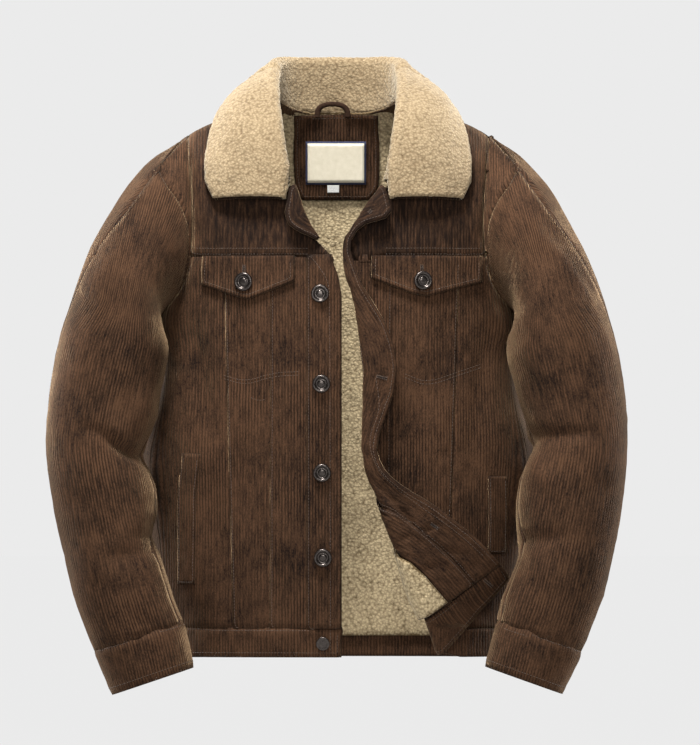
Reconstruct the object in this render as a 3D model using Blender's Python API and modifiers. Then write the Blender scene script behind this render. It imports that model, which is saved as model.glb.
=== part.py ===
"""Corduroy trucker jacket with a pile collar and lining, filled out, its right front turned back.

Run with: blender --background --python part.py
All sizes are in millimetres until a mesh is made. X runs to the viewer's right, the front faces -Y and
Z is up. The origin is the middle of the neck opening, level with the seam of the back neck.
"""

import bpy
import numpy as np
from mathutils import Vector

MM = 0.001

# Cloth
SHELL = 1.8
DOUBLE = 3.2
FACING = 1.5
PILE = 4.0
INNER_PILE = 3.0
COLLAR_PILE = 5.0
UNDER_COLLAR = 1.5
SEAM = 0.15
HEM_GAP = 0.4
ARM_GAP = 2.0
RIDGE_GAP = 0.7
LAYER = 0.5
FACING_LAYER = 3.0
LINING_LAYER = 1.8
PANEL_LAYER = 1.4

# Torso
SQUARE = 0.06
RIDGE_Y = 8.0
YOKE_Z = -167.0
HEM_SEAM_Z = -603.0
HEM_Z = -636.0
UNDERARM_Z = -233.0
BACK_YOKE_Z = -150.0
FRONT_RUN = 100.0
LINING_END_Z = -614.0

# Left placket, seen from the front
PLACKET_SEAM_X = -35.0
PLACKET_EDGE_X = 3.5
PLACKET_RAISE = 1.6

# Turned-back front
PLACKET_WIDTH = 38.0
INNER_FACING_WIDTH = 36.0
LEVEL_RUN = 20.0
ROLL_SHARE = 50.0
YOKE_CLEAR = 4.6

# Collar
COLLAR_ROLL = 10.0

# Buttons
BUTTON_R = 10.6
FLAP_BUTTON_R = 11.0
SNAP_R = 8.0
BUTTON_STEPS = 14


def table(names, *rows):
    """Named columns from rows of sizes."""
    columns = np.array(rows, float).T
    return dict(zip(names.split(), columns))


def at(data, name, value):
    """A column's value at a place in the first column, along a smooth curve through its rows."""
    keys = next(iter(data.values()))
    column = data[name]
    order = np.argsort(keys)
    keys = keys[order]
    column = column[order]
    slopes = np.gradient(column, keys)
    value = np.clip(np.asarray(value, float), keys[0], keys[-1])
    low = np.clip(np.searchsorted(keys, value, side="right") - 1, 0, len(keys) - 2)
    span = keys[low + 1] - keys[low]
    t = (value - keys[low]) / span
    rise = 3 * t**2 - 2 * t**3
    start = (t**3 - 2 * t**2 + t) * span * slopes[low]
    end = (t**3 - t**2) * span * slopes[low + 1]
    return column[low] * (1 - rise) + column[low + 1] * rise + start + end


def ease(value, low, high):
    """0 below low, 1 above high, and a smooth step between them."""
    t = np.clip((value - low) / (high - low), 0, 1)
    return t * t * (3 - 2 * t)


# Sections of the torso from hem to neck: half width, and depth of front and back from the side seam
BODY = table(
    "z half_width front back",
    (-640, 193, 103, 96),
    (-603, 200, 107, 99),
    (-575, 209, 110, 101),
    (-540, 218, 113, 103),
    (-480, 228, 116, 104),
    (-410, 230, 118, 105),
    (-360, 222, 119, 107),
    (-300, 211, 119, 109),
    (-240, 204, 117, 110),
    (-180, 206, 112, 109),
    (-120, 208, 102, 106),
    (-60, 208, 88, 99),
    (0, 208, 76, 90),
    (30, 208, 70, 84),
)

# Height of the shoulder line outwards from the middle
SHOULDER = table(
    "x z",
    (0, 24),
    (40, 21.5),
    (68, 16),
    (110, 3),
    (145, -9),
    (161, -16),
    (180, -28),
    (210, -46),
)

# Armhole seam down each side of the yoke
ARMHOLE = table(
    "z front back",
    (-30, 176, 176),
    (-60, 174, 175),
    (-100, 171, 173),
    (-147, 170.5, 172),
    (-180, 175, 177),
    (-208, 185, 188),
    (-225, 195.5, 197.5),
    (-233, 205, 205),
)

# Neck seam: across and height, from the middle of the back to the end of the front
NECK = table(
    "way x z",
    (0.00, 0, 0),
    (0.12, 34, 1),
    (0.24, 57, 7),
    (0.33, 66.5, 13),
    (0.38, 69, 15.5),
    (0.44, 70, 11),
    (0.52, 70, 1),
    (0.62, 68, -17),
    (0.73, 65, -37),
    (0.84, 61.5, -57),
    (0.93, 58.8, -72),
    (1.00, 57, -84),
)
NECK_POINT = 0.38

ANGLES = np.linspace(0, np.pi / 2, 400)
REACH = np.sin(ANGLES) * (1 + SQUARE * np.sin(2 * ANGLES) ** 2)


def angle_of(x, z):
    """How far round the torso a point seen from the front lies: 0 in the middle, a quarter turn at the side."""
    return np.interp(np.abs(x) / at(BODY, "half_width", z), REACH, ANGLES)


def torso(sign, angle, z, face):
    """A point of the torso. The face is -1 in front and 1 behind."""
    swell = 1 + SQUARE * np.sin(2 * angle) ** 2
    across = at(BODY, "half_width", z) * np.sin(angle) * swell
    depth = np.where(face < 0, at(BODY, "front", z), at(BODY, "back", z))
    full = face * depth * np.cos(angle) * swell
    run = np.where(face < 0, FRONT_RUN, 32 + 48 * np.clip(across / 120, 0, 1))
    drop = np.clip((at(SHOULDER, "z", across) - z) / run, 0, 1)
    rounding = np.sqrt(1 - (1 - drop) ** 2)
    ridge = RIDGE_Y + face * RIDGE_GAP
    return np.stack([sign * across, ridge + (full - ridge) * rounding, z + 0 * across], -1)


def torso_out(sign, angle, z, face, out):
    """A point of the torso, moved out along the surface's normal."""
    sign = np.asarray(sign, float)
    step = 0.01
    base = torso(sign, angle, z, face)
    along = torso(sign, angle + step, z, face) - torso(sign, angle - step, z, face)
    down = torso(sign, angle, z - 0.8, face) - torso(sign, angle, z + 0.8, face)
    normal = np.cross(along, down)
    length = np.linalg.norm(normal, axis=-1, keepdims=True)
    normal = normal / np.maximum(length, 1e-9)
    normal = normal * (sign * face)[..., None]
    return base + normal * np.asarray(out, float)[..., None]


def on_body(x, z, face, out=0.0):
    """The point of the front or back at a place seen from the front, moved out."""
    x, z, out = np.broadcast_arrays(np.asarray(x, float), z, out)
    face = np.broadcast_to(np.asarray(face, float), x.shape)
    sign = np.where(x < 0, -1.0, 1.0)
    return torso_out(sign, angle_of(x, z), z, face, out)


def neck_seam(way, out=0.0):
    """A point of the neck seam: negative on the left of the view, positive on the right."""
    way = np.asarray(way, float)
    face = np.where(np.abs(way) > NECK_POINT, -1.0, 1.0)
    x = np.sign(way) * at(NECK, "x", np.abs(way))
    return on_body(x, at(NECK, "z", np.abs(way)), face, out)


def polyline(points, count):
    """Evenly spaced points along a run of (x, z) points."""
    points = np.array(points, float)
    steps = np.linalg.norm(np.diff(points, axis=0), axis=1)
    length = np.concatenate([[0], np.cumsum(steps)])
    places = np.linspace(0, 1, count) * length[-1]
    return np.stack([np.interp(places, length, points[:, i]) for i in (0, 1)], -1)


def crowded(line, power):
    """A run of points spaced more closely at its start."""
    even = np.linspace(0, 1, len(line))
    return np.stack([np.interp(even**power, even, line[:, i]) for i in (0, 1)], -1)


def patch(top, bottom, left, right, power=1.0):
    """A grid of (x, z) points between four edges. The top and bottom run left to right, the sides down."""
    left = crowded(np.asarray(left), power)
    right = crowded(np.asarray(right), power)
    cols = len(top)
    rows = len(left)
    u = np.linspace(0, 1, cols)[None, :, None]
    v = (np.linspace(0, 1, rows) ** power)[:, None, None]
    between = (1 - v) * top[None] + v * bottom[None] + (1 - u) * left[:, None] + u * right[:, None]
    corners = (1 - v) * ((1 - u) * top[0] + u * top[-1]) + v * ((1 - u) * bottom[0] + u * bottom[-1])
    return between - corners


# Scene and materials
def clear_scene():
    for obj in list(bpy.data.objects):
        bpy.data.objects.remove(obj)


def material(name, colour, roughness, metallic=0.0):
    """A Principled material from an sRGB colour of 0 to 255."""
    srgb = np.array(colour, float) / 255
    linear = np.where(srgb <= 0.04045, srgb / 12.92, ((srgb + 0.055) / 1.055) ** 2.4)
    made = bpy.data.materials.new(name)
    made.use_nodes = True
    shader = made.node_tree.nodes["Principled BSDF"]
    shader.inputs["Base Color"].default_value = (*linear, 1)
    shader.inputs["Roughness"].default_value = roughness
    shader.inputs["Metallic"].default_value = metallic
    made.diffuse_color = (*linear, 1)
    return made


def add_mesh(name, verts, faces, look):
    mesh = bpy.data.meshes.new(name)
    mesh.from_pydata((np.asarray(verts).reshape(-1, 3) * MM).tolist(), [], faces)
    mesh.update()
    mesh.shade_smooth()
    obj = bpy.data.objects.new(name, mesh)
    obj.data.materials.append(look)
    JACKET.objects.link(obj)
    return obj


def cloth(name, look, points, outside, thickness, around=False):
    """A wall of cloth: a grid of face points, given its thickness on the side away from the outside points."""
    rows, cols = points.shape[:2]
    wrap = cols if around else cols - 1
    faces = []
    for i in range(rows - 1):
        for j in range(wrap):
            k = (j + 1) % cols
            faces.append((i * cols + j, i * cols + k, (i + 1) * cols + k, (i + 1) * cols + j))
    i, j = rows // 2 - 1, cols // 2 - 1
    normal = np.cross(points[i, j + 1] - points[i, j], points[i + 1, j] - points[i, j])
    if np.dot(normal, outside[i, j] - points[i, j]) < 0:
        faces = [face[::-1] for face in faces]
    obj = add_mesh(name, points, faces, look)
    solidify = obj.modifiers.new("Cloth", "SOLIDIFY")
    solidify.thickness = thickness * MM
    solidify.offset = -1
    solidify.use_quality_normals = True
    solidify.thickness_clamp = 0
    return obj


def on_torso(name, look, grid, out, thickness, face=-1):
    """Cloth over the front or back of the torso, from a grid of (x, z) points. Its outer face lies at out."""
    x = grid[..., 0]
    z = grid[..., 1]
    return cloth(name, look, on_body(x, z, face, out), on_body(x, z, face, out + 1), thickness)


# Fronts turned back at the edge. Each row has the fold and the free edge as seen from the front, the level of
# the row on the flat part of the front, the radius of the roll and how far the free edge stands off.
LEFT_TURN = table(
    "row fold_x fold_z edge_x edge_z level roll stand",
    (0, -48.5, -84, -61.5, -116, -86, 5, 3),
    (1, -43.6, -98, -58, -129, -98, 5, 3),
    (2, -36.3, -119, -45, -139, -119, 4.5, 2),
    (3, -28, -135, -33.5, -144, -135, 3, 1),
    (4, -20.5, -146, -24.5, -149, -146, 1.5, 0),
)
RIGHT_TURN = table(
    "row fold_x fold_z edge_x edge_z level roll stand",
    (0, 49.1, -84, 61.5, -115.5, -84, 5, 3),
    (1, 39.8, -97, 54, -124, -97, 5, 3),
    (2, 29.3, -111, 38, -128, -111, 4.5, 2),
    (3, 18.7, -129.4, 26, -133, -128, 3, 1),
    (4, 8.7, -144, 16, -147, -143, 2.5, 0),
    (5, 6.6, -160, 14, -161, -158, 2.5, 0),
    (6, 7.5, -185, 20.8, -182, -183, 3, 1),
    (7, 13, -203, 27, -200, -202, 4, 2),
    (8, 18.2, -226, 40, -222, -226, 5, 2),
    (9, 22.2, -252, 56, -248, -252, 5, 3),
    (10, 25.7, -283, 66, -279, -283, 5, 3),
    (11, 28.1, -312, 68.4, -307, -312, 5, 3),
    (12, 27.8, -342, 61, -338, -342, 5, 3),
    (13, 27.3, -371, 50.5, -368, -371, 5, 4),
    (14, 27.9, -394, 45, -392, -395, 5, 5),
    (15, 33, -422, 54, -417, -422, 5, 5),
    (16, 44.5, -450, 77, -438, -450, 5.5, 6),
    (17, 57.3, -480, 111, -458, -480, 6, 7),
    (18, 68, -509, 137, -478, -510, 6, 9),
    (19, 78.5, -541.5, 160, -496, -543, 6, 10),
    (20, 88.5, -569, 178, -516, -574, 6, 12),
    (21, 99.5, -592, 189, -528, -603, 6, 13),
    (22, 115, -634, 199, -544, -636, 6, 14),
)
YOKE_ROW = 5.42
HEM_ROW = 21


class Turn:
    """A front whose edge rolls outwards and lies back on the front."""

    def __init__(self, side, rows):
        self.side = side
        self.rows = rows

    def frame(self, row):
        """Where the roll starts, its direction outwards, the direction of the turned cloth and its length."""
        rows = self.rows
        fold = np.stack([at(rows, "fold_x", row), at(rows, "fold_z", row)], -1)
        edge = np.stack([at(rows, "edge_x", row), at(rows, "edge_z", row)], -1)
        step = 0.2
        ahead = np.stack([at(rows, "fold_x", row + step), at(rows, "fold_z", row + step)], -1)
        behind = np.stack([at(rows, "fold_x", row - step), at(rows, "fold_z", row - step)], -1)
        along = ahead - behind
        along = along / np.linalg.norm(along, axis=-1, keepdims=True)
        out = np.stack([along[..., 1], -along[..., 0]], -1)
        out = out * np.where(out[..., :1] * self.side > 0, -1.0, 1.0)
        roll = at(rows, "roll", row)
        start = fold - out * (roll + DOUBLE)[..., None]
        across = edge - start
        length = np.linalg.norm(across, axis=-1)
        return start, out, across / np.maximum(length, 1e-6)[..., None], length, roll

    def width(self, row):
        """From the start of the roll to the free edge, along the cloth."""
        start, out, across, length, roll = self.frame(np.asarray(row, float))
        return np.pi * roll + length

    def start(self, row):
        return self.frame(np.asarray(row, float))[0]

    def point(self, row, along, out):
        """A point of the front. Along is 0 where the roll starts, more towards the free edge."""
        row, along, out = np.broadcast_arrays(np.asarray(row, float), np.asarray(along, float), float(out))
        start, away, across, length, roll = self.frame(row)
        half = np.pi * roll
        # the flat part
        flat_x = start[..., 0] - self.side * np.minimum(along, 0)
        level = at(self.rows, "level", row)
        flat_z = start[..., 1] + (level - start[..., 1]) * ease(-along, 0, LEVEL_RUN)
        flat = on_body(flat_x, flat_z, -1, out)
        # the roll
        angle = np.clip(along / roll, 0, np.pi)
        base = on_body(start[..., 0], start[..., 1], -1, 0)
        radius = roll - out
        rolled = np.stack(
            [
                start[..., 0] + away[..., 0] * radius * np.sin(angle),
                base[..., 1] - roll + radius * np.cos(angle),
                start[..., 1] + away[..., 1] * radius * np.sin(angle),
            ],
            -1,
        )
        # the part that lies back
        reach = np.maximum(along - half, 0)
        lying = start + across * reach[..., None]
        front = on_body(lying[..., 0], lying[..., 1], -1, 0)
        stand = at(self.rows, "stand", row) * (reach / np.maximum(length, 1)) ** 2
        turned = np.stack([lying[..., 0], front[..., 1] - 2 * roll + out - stand, lying[..., 1]], -1)
        return np.where((along < 0)[..., None], flat, np.where((along < half)[..., None], rolled, turned))


LEFT_FRONT = Turn(-1, LEFT_TURN)
RIGHT_FRONT = Turn(1, RIGHT_TURN)

# The shaped front edge of the left side, from the turned corner to the hem
LEFT_EDGE = ((-16, -156), (-8.5, -167), (-5.9, -176.7), (-0.8, -189.5), (1.2, -200), (3.5, -213), (3.5, -603))

# Seams between the panels, as x at the yoke and x at the hem
LEFT_SEAMS = ((-35.0, -35.0), (-78.4, -79.5), (-134.0, -122.5))
RIGHT_SEAMS = ((63.0, 60.0), (142.0, 128.0))
BACK_SEAM = (98.0, 70.0)
PANEL_ROWS = 13
YOKE_CROWD = 1.5


def neck_line(side, first, last, count):
    """(x, z) along the neck seam."""
    ways = np.linspace(first, last, count)
    return [(side * at(NECK, "x", way), at(NECK, "z", way)) for way in ways]


def shoulder_line(side, end, count=8):
    """(x, z) of the shoulder seam from the neck point out to the armhole."""
    return [(side * x, at(SHOULDER, "z", x)) for x in np.linspace(71, end, count)]


def armhole_line(side, column, start, end, count=14):
    """(x, z) of the armhole seam between two heights."""
    heights = np.linspace(start, end, count)
    return [(side * (at(ARMHOLE, column, z) - SEAM), z) for z in heights]


def side_line(side, start, end, count=12):
    """(x, z) of the side seam between two heights."""
    heights = np.linspace(start, end, count)
    return [(side * (at(BODY, "half_width", z) - 0.02), z) for z in heights]


def line_x(line, z):
    """The x of a run of (x, z) points at a height."""
    points = np.array(line, float)
    order = np.argsort(points[:, 1])
    return np.interp(z, points[order, 1], points[order, 0])


def panel_between(first, second, top=YOKE_Z, cols=4, rows=PANEL_ROWS):
    """A grid between two straight seams, each given by its x at the top and at the bottom."""
    inset = SEAM * np.sign(second[0] - first[0])
    u = np.linspace(0, 1, cols)[None, :]
    v = np.linspace(0, 1, rows)[:, None]
    start = first[0] + (first[1] - first[0]) * v + inset
    end = second[0] + (second[1] - second[0]) * v - inset
    z = top - SEAM - (top - HEM_SEAM_Z - 2 * SEAM) * v
    return np.stack([start + (end - start) * u, z + 0 * u], -1)


def side_panel(side, seam, column, top, rows=PANEL_ROWS):
    """A panel from a straight seam round to the side seam, cut away at the armhole."""
    inset = side * SEAM
    start = (side * seam[0] + inset, top - SEAM)
    corner = (side * at(ARMHOLE, column, top) - inset, top - SEAM)
    armhole = polyline([corner] + armhole_line(side, column, top - 6, UNDERARM_Z, 12), 6)
    upper = np.concatenate([np.linspace(start, corner, 3), armhole[1:]])
    cols = len(upper)
    bottom = HEM_SEAM_Z + SEAM
    lower_end = (side * (at(BODY, "half_width", bottom) - 0.02), bottom)
    lower = np.linspace((side * seam[1] + inset, bottom), lower_end, cols)
    inner = np.linspace(upper[0], lower[0], rows)
    outer = np.array(side_line(side, UNDERARM_Z, bottom, rows))
    upper[-1] = outer[0]
    return patch(upper, lower, inner, outer)


def front_yoke(side, turn, last_row, edge):
    """The yoke from the neck and the roll of the turned corner to the armhole, down to the yoke seam."""
    rows = 12
    starts = turn.start(np.linspace(0, last_row, 8)) + (side * YOKE_CLEAR, 0)
    neck = neck_line(side, NECK_POINT + 0.005, 0.95, 8)
    inner = polyline(neck + [tuple(p) for p in starts] + edge, rows)
    shoulder = shoulder_line(side, at(ARMHOLE, "front", -30))
    top = polyline([neck[0]] + shoulder, 8)
    armhole = polyline([tuple(top[-1])] + armhole_line(side, "front", -36, YOKE_Z + SEAM), rows)
    bottom = np.linspace(inner[-1], armhole[-1], len(top))
    return patch(top, bottom, inner, armhole, YOKE_CROWD)


def build_fronts():
    """The yokes and panels of both fronts, apart from the panels that roll with the turned edge."""
    grid = front_yoke(-1, LEFT_FRONT, 3.9, [(-16 - SEAM, -156), (-8.5 - SEAM, YOKE_Z + SEAM)])
    on_torso("left_front_yoke", CORDUROY, grid, 0.0, SHELL)
    end = RIGHT_FRONT.start(5.36)[0] + YOKE_CLEAR
    grid = front_yoke(1, RIGHT_FRONT, 5.0, [(end, YOKE_Z + SEAM)])
    on_torso("right_front_yoke", CORDUROY, grid, 0.0, SHELL)
    first, second, third = LEFT_SEAMS
    on_torso("left_front_inner_panel", CORDUROY, panel_between(first, second), 0.0, SHELL)
    on_torso("left_front_middle_panel", CORDUROY, panel_between(second, third), 0.0, SHELL)
    third = (-third[0], -third[1])
    on_torso("left_front_side_panel", CORDUROY, side_panel(-1, third, "front", YOKE_Z), 0.0, SHELL)
    on_torso("right_front_side_panel", CORDUROY, side_panel(1, RIGHT_SEAMS[1], "front", YOKE_Z), 0.0, SHELL)


def turned(name, look, turn, rows, along, out, thickness):
    """Cloth of a turned front, with its outer face at out and its thickness towards the lining."""
    along = np.array(along)
    rows = np.asarray(rows)[:, None] + 0 * along
    face = turn.point(rows, along, out)
    return cloth(name, look, face, turn.point(rows, along, out + 1), thickness)


def spread(turn, row, start, end, count):
    """Places along a row between two of them, closer together round the roll."""
    half = np.pi * float(at(turn.rows, "roll", row))
    places = np.array([-300, 0, half, 300])
    measure = places + ROLL_SHARE * np.array([0, 0, 1, 1])
    ends = np.interp((start, end), places, measure)
    return np.interp(np.linspace(ends[0], ends[1], count), measure, places)


def strip(name, look, turn, rows, start, end, count, out, thickness):
    """A strip of a turned front between two places on each row."""
    along = [spread(turn, row, float(start(row)), float(end(row)), count) for row in rows]
    turned(name, look, turn, rows, along, out, thickness)


def build_left_edge():
    """The button placket of the left side, of doubled cloth, and the top corner turned out above it."""
    heights = np.concatenate([np.linspace(YOKE_Z - SEAM, -213, 5), np.linspace(-213, HEM_SEAM_Z + SEAM, 12)[1:]])
    u = np.linspace(0, 1, 4)[None, :]
    edge = line_x(LEFT_EDGE, heights)[:, None]
    x = PLACKET_SEAM_X + SEAM + (edge - PLACKET_SEAM_X - SEAM) * u
    grid = np.stack([x, heights[:, None] + 0 * u], -1)
    on_torso("left_placket", CORDUROY, grid, PLACKET_RAISE, DOUBLE)
    rows = np.linspace(0, 3.9, 8)
    strip("left_front_corner", CORDUROY, LEFT_FRONT, rows, lambda row: -1.0, LEFT_FRONT.width, 8, 0.0, DOUBLE)


def right_seam(row):
    """Along the row, where the placket of the turned front is sewn on."""
    width = RIGHT_FRONT.width(row)
    return np.maximum(width - PLACKET_WIDTH, -1) * ease(row, 6, 8) - (1 - ease(row, 6, 8))


def panel_seam(index, row):
    """Along the row, where a seam between two panels of the turned front lies."""
    top, bottom = RIGHT_SEAMS[index]
    share = (YOKE_Z - at(RIGHT_TURN, "level", row)) / (YOKE_Z - HEM_SEAM_Z)
    return RIGHT_FRONT.start(row)[..., 0] - (top + (bottom - top) * share)


def build_right_edge():
    """The turned-back placket, the panels that roll with it, and what shows on its inner side."""
    front = RIGHT_FRONT
    upper = np.linspace(0, 5, 7)
    straight = np.linspace(6.2, 13.4, 9)
    curving = np.linspace(14.1, 18.6, 11)
    rows = np.concatenate([[YOKE_ROW], straight, curving, [19.3, 20.1, HEM_ROW - 0.03]])

    def first(row):
        return panel_seam(1, row) + SEAM

    def second(row):
        return panel_seam(0, row)

    def third(row):
        return right_seam(row) - 3 * SEAM

    strip("right_front_middle_panel", CORDUROY, front, rows, first, lambda row: second(row) - SEAM, 10, 0, SHELL)
    strip("right_front_inner_panel", CORDUROY, front, rows, lambda row: second(row) + SEAM, third, 11, 0, SHELL)
    rows = np.concatenate([upper, rows])
    strip("right_placket", CORDUROY, front, rows, lambda row: right_seam(row) + 2 * SEAM, front.width, 7, 0, DOUBLE)
    out = -(SHELL + FACING_LAYER)
    rows = rows[len(upper):]

    def facing(row):
        return third(row) - INNER_FACING_WIDTH

    strip("right_inner_facing", CORDUROY, front, rows[rows > 14], facing, lambda row: third(row) - SEAM, 8, out, FACING)
    edge = 1.0
    strip("right_front_lining", PILE_CLOTH, front, rows[rows > 17], lambda row: -6, lambda row: facing(row) - edge, 8,
          out, INNER_PILE)


def build_hem_bands():
    """Doubled bands along the hem, standing a little proud of the panels."""
    out = (DOUBLE - SHELL) / 2
    top = HEM_SEAM_Z - HEM_GAP
    side_gap = 0.02
    u = np.linspace(0, 1, 12)[None, :]
    v = np.linspace(0, 1, 3)[:, None]
    z = top + (HEM_Z - top) * v + 0 * u
    width = at(BODY, "half_width", z) - side_gap
    left = np.stack([-width + (PLACKET_EDGE_X + width) * u, z], -1)
    on_torso("left_hem_band", CORDUROY, left, out, DOUBLE)
    u = np.linspace(-1, 1, 19)[None, :]
    z = top + (HEM_Z - 1 - top) * v + 0 * u
    width = at(BODY, "half_width", z) - side_gap
    back = np.stack([width * np.sin(u * np.pi / 2), z], -1)
    on_torso("back_hem_band", CORDUROY, back, out, DOUBLE, 1)
    rows = np.linspace(HEM_ROW + 0.03, HEM_ROW + 1, 3)
    along = []
    for row in rows:
        level = float(at(RIGHT_TURN, "level", row))
        start = float(RIGHT_FRONT.start(row)[0]) - (at(BODY, "half_width", level) - side_gap)
        roll = float(np.pi * at(RIGHT_TURN, "roll", row))
        end = float(RIGHT_FRONT.width(row))
        flat = np.concatenate([np.linspace(start, -LEVEL_RUN, 6), (-LEVEL_RUN / 2, 0)])
        along.append(np.concatenate([flat, np.linspace(0, roll, 5)[1:], np.linspace(roll, end, 7)[1:]]))
    turned("right_hem_band", CORDUROY, RIGHT_FRONT, rows, along, out, DOUBLE)


def build_back():
    """The back yoke and the three panels below it."""
    rows = 8
    half = shoulder_line(1, at(ARMHOLE, "back", -30))[::-1] + neck_line(1, NECK_POINT - 0.005, 0, 8)
    top = polyline(half, 11)
    top = np.concatenate([top, (top[:-1] * (-1, 1))[::-1]])[::-1]
    right = polyline([tuple(top[-1])] + armhole_line(1, "back", -36, BACK_YOKE_Z + SEAM), rows)
    left = right * (-1, 1)
    bottom = np.linspace(left[-1], right[-1], len(top))
    on_torso("back_yoke", CORDUROY, patch(top, bottom, left, right, YOKE_CROWD), 0.0, SHELL, 1)
    outer = (-BACK_SEAM[0], -BACK_SEAM[1])
    centre = panel_between(outer, BACK_SEAM, BACK_YOKE_Z, cols=7, rows=12)
    on_torso("back_centre_panel", CORDUROY, centre, 0.0, SHELL, 1)
    for side, name in ((-1, "left"), (1, "right")):
        grid = side_panel(side, BACK_SEAM, "back", BACK_YOKE_Z, rows=12)
        on_torso(f"{name}_back_panel", CORDUROY, grid, 0.0, SHELL, 1)


# Side of the back lining, from the neck to the hem
LINING_SIDE = ((90, -30), (150, -110), (178, -200), (190, -300), (196, -450))
# Sides of the neck panel, and the boxes of the label, its field and the size tab
PANEL_LEFT = ((-54, -2.5), (-51.5, -80), (-43, -98.5))
PANEL_RIGHT = ((49, -2.5), (48, -84), (37, -98.5))
PANEL_TOP_Z = -2.5
PANEL_HEIGHT = 96.0
LABEL = (-38.8, 33.5, -29.8, -80.7)
LABEL_FIELD = (-36.5, 31.2, -32.1, -78.4)
SIZE_TAB = (-12.9, 1.2, -81.4, -90.4)
LABEL_CLOTH = 0.5
LINING_CROWD = 1.8


def build_inside():
    """What shows through the neck and the open front: the pile lining of the back, and the pieces on it."""
    u = np.linspace(-1, 1, 15)
    top = np.array(neck_line(1, 0.0, NECK_POINT - 0.1, 8))
    top = np.concatenate([(top[1:] * (-1, 1))[::-1], top]) - (0, 3)
    bottom = np.stack([190 * np.sin(u * 1.4), np.full(15, LINING_END_Z)], -1)
    sides = polyline([tuple(top[-1])] + list(LINING_SIDE) + [tuple(bottom[-1])], 15)
    grid = patch(top, bottom, sides * (-1, 1), sides, LINING_CROWD)
    height = grid[..., 1]
    deeper = 1.5 * ease(-height, -HEM_SEAM_Z - 25, -HEM_SEAM_Z - 3) + 2.0 * ease(height, -60, -8)
    out = -(SHELL + LINING_LAYER)
    on_torso("back_lining", PILE_CLOTH, grid, out - deeper, PILE, 1)

    out -= PILE + PANEL_LAYER + 1.3
    u = np.linspace(0, 1, 8)[None, :]
    z = PANEL_TOP_Z - PANEL_HEIGHT * np.linspace(0, 1, 8)[:, None]
    left = line_x(PANEL_LEFT, z)
    right = line_x(PANEL_RIGHT, z)
    on_torso("neck_panel", CORDUROY, np.stack([left + (right - left) * u, z + 0 * u], -1), out, FACING, 1)
    out -= FACING + LAYER
    pieces = (("label", NAVY, LABEL, 0), ("label_field", CREAM, LABEL_FIELD, 1), ("size_tab", WHITE, SIZE_TAB, 0))
    for name, look, (left, right, top, bottom), layer in pieces:
        x = left + (right - left) * np.linspace(0, 1, 6)[None, :]
        z = top + (bottom - top) * np.linspace(0, 1, 4)[:, None]
        level = out - layer * (LABEL_CLOTH + 2 * SEAM)
        on_torso(name, look, np.stack([x + 0 * z, z + 0 * x], -1), level, LABEL_CLOTH, 1)


# Sleeve rings from the shoulder to the end of the cuff, as seen from the front: the point on the outer side and
# the point on the inner side. Then the middle in depth, half the depth, and how far the front bows inwards.
RING_NAMES = "ring outer_x outer_z inner_x inner_z middle half_depth bow"
LEFT_SLEEVE = table(
    RING_NAMES,
    (0, -175.5, -28, -214, -231, 0, 80, 30),
    (1, -207, -44.5, -215, -234, -12, 78, 28),
    (2, -231.5, -65.5, -214, -240, -26, 76, 22),
    (3, -252.5, -97, -211, -248, -42, 73, 16),
    (4, -271.5, -128.5, -206, -257, -56, 70, 10),
    (5, -288, -157, -201, -267, -68, 67, 5),
    (6, -304, -199, -199, -280, -76, 65, 0),
    (7, -318, -241, -203, -298, -80, 63, 0),
    (8, -329, -283, -208, -324, -82, 61, 0),
    (9, -336, -325, -211, -351, -84, 59, 0),
    (10, -338.5, -353, -219, -373, -86, 57, 0),
    (11, -339.5, -371, -235, -400, -88, 55, 0),
    (12, -339.5, -392, -222, -422, -89, 57, 0),
    (13, -337, -423.5, -213, -446, -91, 58, 0),
    (14, -331, -462, -212.5, -470, -93, 57, 0),
    (15, -325, -493.5, -218.5, -496, -95, 54, 0),
    (16, -319.5, -517, -210, -518, -96, 54, 0),
    (17, -309, -564, -194, -566, -98, 51, 0),
    (18, -284, -629, -181, -598, -99, 46, 0),
    (19, -262.5, -679, -171, -648, -99, 43, 0),
)
RIGHT_SLEEVE = table(
    RING_NAMES,
    (0, 175.5, -30, 214, -231, 0, 80, 30),
    (1, 207, -44.5, 215, -234, -12, 78, 28),
    (2, 230.5, -65.5, 214, -240, -26, 76, 22),
    (3, 251.5, -97, 211, -248, -42, 73, 16),
    (4, 268, -128.5, 206, -257, -56, 70, 10),
    (5, 284.5, -157, 200, -267, -68, 67, 5),
    (6, 303, -199, 198, -280, -76, 65, 0),
    (7, 316, -241, 202.5, -298, -80, 63, 0),
    (8, 326.5, -283, 209.5, -324, -82, 61, 0),
    (9, 334, -325, 217.5, -351, -84, 59, 0),
    (10, 336.5, -353, 227, -373, -86, 57, 0),
    (11, 337, -371, 230.5, -390, -88, 55, 0),
    (12, 336.5, -391, 222, -409.5, -89, 57, 0),
    (13, 334.5, -423.5, 212, -436.5, -91, 58, 0),
    (14, 330, -462, 209.5, -468, -93, 57, 0),
    (15, 325.5, -493.5, 214, -501, -95, 54, 0),
    (16, 320.5, -517, 212, -518, -96, 54, 0),
    (17, 309, -564, 193, -566, -98, 51, 0),
    (18, 283.5, -629, 187, -595.5, -99, 46, 0),
    (19, 261, -678, 174, -647, -99, 43, 0),
)
CUFF_RING = 18
# Angle of the sleeve's two seams round a ring: 0 is the outer side and a quarter turn is the front
SLEEVE_SEAMS = table(
    "ring outer inner",
    (0, 0.04, 3.14),
    (1, 0.25, 3.14),
    (2, 0.6, 3.14),
    (4, 0.62, 3.14),
    (7, 0.25, 3.1),
    (10, -0.1, 3.0),
    (15, -0.2, 2.75),
    (18, -0.2, 2.65),
    (19, -0.2, 2.65),
)
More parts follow.
